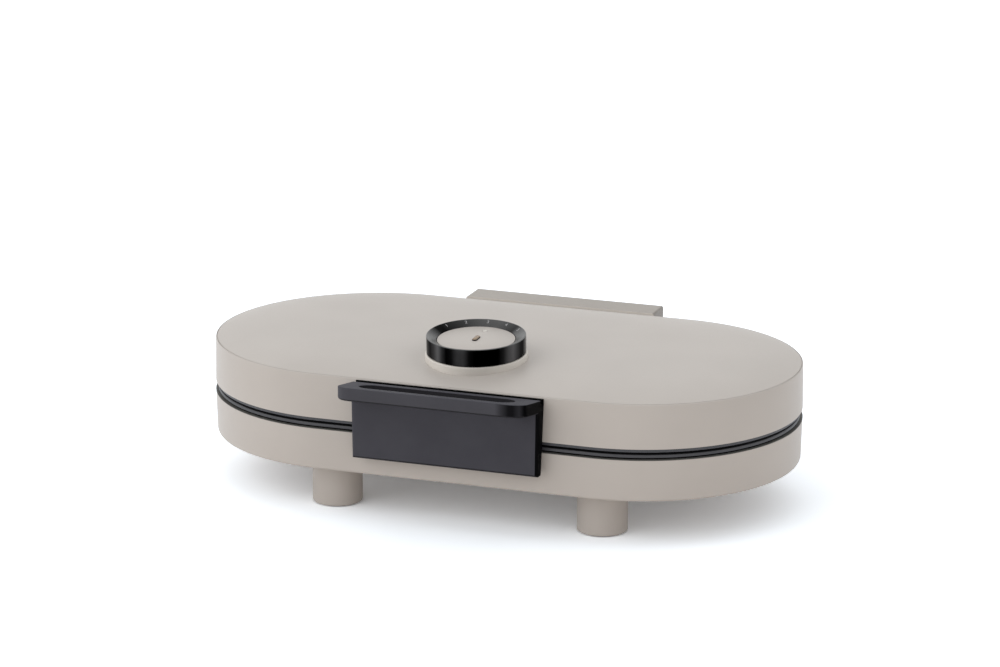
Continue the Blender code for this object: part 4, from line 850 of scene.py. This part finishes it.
# from under the wall up its outside, over the rim, down the scale face and round the skirt
ringOutline = [(outer - ring["wall"], -ring["height"]), (outer - ring["lowEdge"], -ring["height"]),
               (outer, -ring["height"] + ring["lowEdge"])]
ringOutline += roundOff(outer, 0, ring["edge"], ring["roundShares"], -1)
ringOutline += [(outer - ring["rim"], 0), (outer - ring["rim"] - ring["lip"], -ring["lipDrop"]),
                (inner + ring["innerEdge"], -ring["drop"] + ring["innerRise"]),
                (inner, -ring["drop"] - ring["innerFall"]), (inner, -ring["skirt"]),
                (inner + ring["skirtWall"], -ring["skirt"]),
                (inner + ring["skirtWall"], -ring["hollowInner"]),
                (outer - ring["wall"], -ring["hollowOuter"])]
dialRing = addTurned("dial_turning_ring", ringOutline, ring["steps"], dialFrame, closed=True)


def onOuterWall(face):
    fromAxis = (dialFrame.inverted() @ face.center).xy.length
    return abs(face.normal.z) < ring["slopeNormal"] and fromAxis > outer - mm


wear(dialRing, finishes["polishedBlackAbs"], "gloss_black", "dial", "dial_ring")
wearPartly(dialRing, finishes["turnedAbsPaintedReflections"], lambda face: face.normal.z > ring["slopeNormal"])
wearPartly(dialRing, finishes["blackAbsPaintedReflections"], onOuterWall)

# each number with its angle clockwise from the back
numbers = {"angles": {"1": -60.9, "2": -33.1, "3": -4.7, "4": 22.2, "5": 48.0}, "reach": 32.3 * mm,
           "size": 3.8 * mm, "lift": 0.06 * mm, "ink": 0.03 * mm}
slopeAngle = math.atan2(ring["drop"], outer - ring["rim"] - inner)


def addNumber(digit, clock):
    # lies on the sloping scale face, with its foot towards the dial's middle
    turn = math.radians(clock)
    out = Vector((math.sin(turn), math.cos(turn), 0))
    along = Vector((math.cos(turn), -math.sin(turn), 0))
    up = out * math.cos(slopeAngle) + Vector((0, 0, math.sin(slopeAngle)))
    outOfFace = along.cross(up)
    rise = (numbers["reach"] - inner) * math.tan(slopeAngle)
    spot = out * numbers["reach"] + Vector((0, 0, -ring["drop"] + rise)) + outOfFace * numbers["lift"]
    laid = Matrix((along, up, outOfFace)).transposed().to_4x4()
    deselectAll()
    bpy.ops.object.text_add()
    text = bpy.context.object.data
    text.body = digit
    text.size = numbers["size"]
    text.align_x = "CENTER"
    text.align_y = "CENTER"
    text.extrude = numbers["ink"]
    bpy.ops.object.convert(target="MESH")
    return nameAndPlace("dial_number_" + digit, dialFrame @ Matrix.Translation(spot) @ laid)


for digit, clock in numbers["angles"].items():
    number = addNumber(digit, clock)
    wear(number, finishes["padPrintInk"], "pale_lens", "dial")

collar = {"radius": 36.6 * mm, "flare": 36.9 * mm, "top": -13.0 * mm, "low": -25.2 * mm,
          "inner": 34.7 * mm,
          "bevel": 1 * mm, "bevelShares": ((0.8, 0), (0.15, 0.5), (0, 0.9)),
          "flareDrop": 6 * mm, "sleeveOuter": 27.5 * mm, "sleeveInner": 25.7 * mm,
          "sleeveTop": -5.7 * mm, "sleeveLow": -23.2 * mm, "sleeveSteps": 96}
collarOutline = [(collar["inner"], collar["top"])]
collarOutline += roundOff(collar["radius"], collar["top"], collar["bevel"], collar["bevelShares"], -1)
collarOutline += [(collar["flare"], collar["top"] - collar["flareDrop"]), (collar["flare"], collar["low"]),
                  (collar["inner"], collar["low"])]
sleeveOutline = [(collar["sleeveOuter"], collar["sleeveTop"]), (collar["sleeveOuter"], collar["sleeveLow"]),
                 (collar["sleeveInner"], collar["sleeveLow"]), (collar["sleeveInner"], collar["sleeveTop"])]
dialCollar = addTurned("dial_foot_collar", collarOutline, ring["steps"], dialFrame, closed=True)
sleeve = addTurned("collar_sleeve", sleeveOutline, collar["sleeveSteps"], dialFrame, closed=True)
joinInto(dialCollar, [sleeve])
# painted shade darkens the middle of the collar's front
wear(dialCollar, finishes["paleAbsPaintedLightAndShade"], "warm_grey", "lid", "dial_collar")

disc = {"radius": 28 * mm, "top": -3.4 * mm, "low": -5.4 * mm, "edge": 0.5 * mm,
        "edgeShares": ((1, 0), (0.3, 0.3), (0, 1)), "hub": 1 * mm,
        "lensLength": 10 * mm, "lensWidth": 3.4 * mm, "lensGap": 0.3 * mm, "lensRise": 0.9 * mm,
        "lensRound": 0.2 * mm, "lampY": 18.6 * mm, "lampRadius": 1.7 * mm, "lampRise": 0.3 * mm,
        "lampRound": 0.5 * mm, "cutLow": -9 * mm, "windowSteps": 40}
discOutline = [(disc["hub"], disc["top"]),
               *roundOff(disc["radius"], disc["top"], disc["edge"], disc["edgeShares"], -1),
               (disc["radius"], disc["low"]), (disc["hub"], disc["low"])]
dialDisc = addTurned("dial_centre_disc", discOutline, ring["steps"], dialFrame)


def addCapsule(name, length, width, low, high):
    # a rod's two halves pulled apart along Y
    deselectAll()
    bpy.ops.mesh.primitive_cylinder_add(vertices=disc["windowSteps"], radius=width / 2, depth=high - low,
                                        location=(0, 0, (low + high) / 2),
                                        rotation=(0, 0, math.pi / disc["windowSteps"]))
    piece = nameAndPlace(name)
    pullApart(piece, (length - width) / 2, 1)
    activate(piece)
    piece.matrix_world = dialFrame
    bpy.ops.object.transform_apply(location=True, rotation=True, scale=True)
    return piece


lensGaps = 2 * disc["lensGap"]
lampFrame = dialFrame @ Matrix.Translation((0, disc["lampY"], 0))
carve(dialDisc, addCapsule("lens_cut", disc["lensLength"] + lensGaps, disc["lensWidth"] + lensGaps,
                           disc["cutLow"], 0))
carve(dialDisc, addRod("lamp_cut", disc["lampRadius"] + disc["lensGap"], disc["cutLow"], 0,
                       disc["windowSteps"], lampFrame))
tidyMesh(dialDisc, angle=30)
wear(dialDisc, finishes["satinGreigePaint"], "warm_grey", "lid", "dial_disc")
powerLens = addCapsule("power_lens_window", disc["lensLength"], disc["lensWidth"], disc["low"],
                       disc["top"] + disc["lensRise"])
softenEdges(powerLens, disc["lensRound"], segments=2)
tidyMesh(powerLens)
wear(powerLens, finishes["amberAcrylic"], "amber_lens", "lid", "power_lens")
# the lens's sides are painted dark as shade
wearPartly(powerLens, finishes["amberAcrylicPaintedShade"], lambda face: face.normal.z < mostly)
readyLens = addRod("ready_lens_window", disc["lampRadius"], disc["low"], disc["top"] + disc["lampRise"],
                   disc["windowSteps"], lampFrame)
softenEdges(readyLens, disc["lampRound"])
tidyMesh(readyLens)
wear(readyLens, finishes["frostedAcrylic"], "pale_lens", "lid", "ready_lens")
print("dial")


# CAD pieces that stay, each in its own finish

carried = {
    "brightZincPlate": ("hinge_bracket", "hinge_pin", "lid_arm", "screw", "spindle", "sensor_rod", "fuse"),
    "aluminisedSheet": ("reflector",),
    "firedElementTube": ("heater",),
    "softFootRubber": ("foot_pad",),
    "sparkGrainBlackNylon": ("inlet_bush",),
    "glassEpoxyBoard": ("lamp_board",),
    "naturalNylon": ("terminal_block", "thermostat"),
    "frostedAcrylic": ("power_lamp", "ready_lamp"),
}
roundNodes = ("hinge_pin", "foot_pad", "thermostat", "sensor", "inlet")
for node in nodes.values():
    if node.hide_render:
        continue
    chosen = [finish for finish, words in carried.items() if any(word in node.name for word in words)]
    for slot in node.material_slots:
        slot.material = finishes[chosen[0]]
    if node.name.startswith(roundNodes):
        activate(node)
        bpy.ops.object.shade_smooth_by_angle(angle=math.radians(40))
print("CAD pieces dressed")


# floor, light and camera

room = {"bounceColour": "#e9e1db", "seenColour": "#e1e6eb", "seenGain": 1.86, "floorFill": 0.05,
        "floorSize": 14, "floorDrop": 0.05 * mm, "skyDiffuse": 0.79}
light = {"frontLeft": {"strength": 0.74, "spread": 60, "from": (-0.7, -0.7, 0.6)},
         "backLeft": {"strength": 0.12, "spread": 60, "from": (-0.7, 0.7, 0.9)}}


def seenDirectly(tree):
    # 1 for what the camera sees straight, in a mirror or through glass
    path = addNode(tree, "ShaderNodeLightPath")
    first = addNode(tree, "ShaderNodeMath", {0: path.outputs["Is Camera Ray"],
                                             1: path.outputs["Is Glossy Ray"]}, operation="MAXIMUM")
    last = addNode(tree, "ShaderNodeMath", {0: first.outputs[0],
                                            1: path.outputs["Is Transmission Ray"]}, operation="MAXIMUM")
    return last.outputs[0]


deselectAll()
bpy.ops.mesh.primitive_plane_add(size=room["floorSize"], location=(0, 0, -room["floorDrop"]))
floor = nameAndPlace("pale_floor")
floorPaint = bpy.data.materials.new("matt white floor")
floorPaint.use_nodes = True
floorTree = floorPaint.node_tree
# seen directly the floor is brighter than it lights the object, so it is white and keeps the shadow
direct = seenDirectly(floorTree)
seenColour = [channel * room["seenGain"] for channel in hexToLinear(room["seenColour"])[:3]] + [1]
paint = addNode(floorTree, "ShaderNodeMix", {"Factor": direct, mixFirst: hexToLinear(room["bounceColour"]),
                                             mixSecond: seenColour}, data_type="RGBA")
matt = addNode(floorTree, "ShaderNodeBsdfDiffuse", {"Color": paint.outputs[mixResult]})
fill = addNode(floorTree, "ShaderNodeMath", {0: direct, 1: room["floorFill"]}, operation="MULTIPLY")
glow = addNode(floorTree, "ShaderNodeEmission", {"Strength": fill.outputs[0]})
both = addNode(floorTree, "ShaderNodeAddShader", {0: matt.outputs[0], 1: glow.outputs[0]})
floorTree.links.new(both.outputs[0], floorTree.nodes["Material Output"].inputs["Surface"])
floorTree.nodes.remove(floorTree.nodes["Principled BSDF"])
floor.data.materials.append(floorPaint)

world = bpy.data.worlds.new("soft white room")
bpy.context.scene.world = world
world.use_nodes = True
sky = world.node_tree.nodes["Background"]
sky.inputs["Color"].default_value = (1, 1, 1, 1)
strength = addNode(world.node_tree, "ShaderNodeMapRange", {"Value": seenDirectly(world.node_tree),
                                                           "To Min": room["skyDiffuse"], "To Max": 1.0})
world.node_tree.links.new(strength.outputs[0], sky.inputs["Strength"])

for name, lamp in light.items():
    deselectAll()
    bpy.ops.object.light_add(type="SUN", location=[2 * way for way in lamp["from"]],
                             rotation=Vector(lamp["from"]).to_track_quat("Z", "Y").to_euler())
    sun = bpy.context.object
    sun.name = name + "Light"
    sun.data.energy = lamp["strength"]
    sun.data.angle = math.radians(lamp["spread"])

# the photo's viewpoint: angles in degrees, the distance in metres, the lens and sensor in mm
camera = {"azimuth": 19.681, "elevation": 17.5171, "distance": 2.914384, "yaw": 0.0939,
          "pitch": -2.1651, "roll": 0.1491, "lens": 142.59, "sensor": 36}


def backward(azimuth, elevation):
    # the way from the object back to the camera
    turn, rise = math.radians(azimuth), math.radians(elevation)
    return Vector((math.sin(turn) * math.cos(rise), -math.cos(turn) * math.cos(rise), math.sin(rise)))


position = backward(camera["azimuth"], camera["elevation"]) * camera["distance"]
position.y += body["centreY"]
back = backward(camera["azimuth"] + camera["yaw"], camera["elevation"] + camera["pitch"])
heading = math.radians(camera["azimuth"] + camera["yaw"])
right = Vector((math.cos(heading), math.sin(heading), 0))
up = back.cross(right)
roll = math.radians(camera["roll"])
rolledRight = right * math.cos(roll) + up * math.sin(roll)
rolledUp = up * math.cos(roll) - right * math.sin(roll)
deselectAll()
bpy.ops.object.camera_add()
eye = bpy.context.object
eye.name = "photo_camera"
eye.data.lens = camera["lens"]
eye.data.sensor_width = camera["sensor"]
aimed = Matrix((rolledRight, rolledUp, back)).transposed().to_4x4()
eye.matrix_world = Matrix.Translation(position) @ aimed
bpy.context.scene.camera = eye
bpy.context.scene.view_settings.view_transform = "Standard"
print("floor, light and camera")

deselectAll()
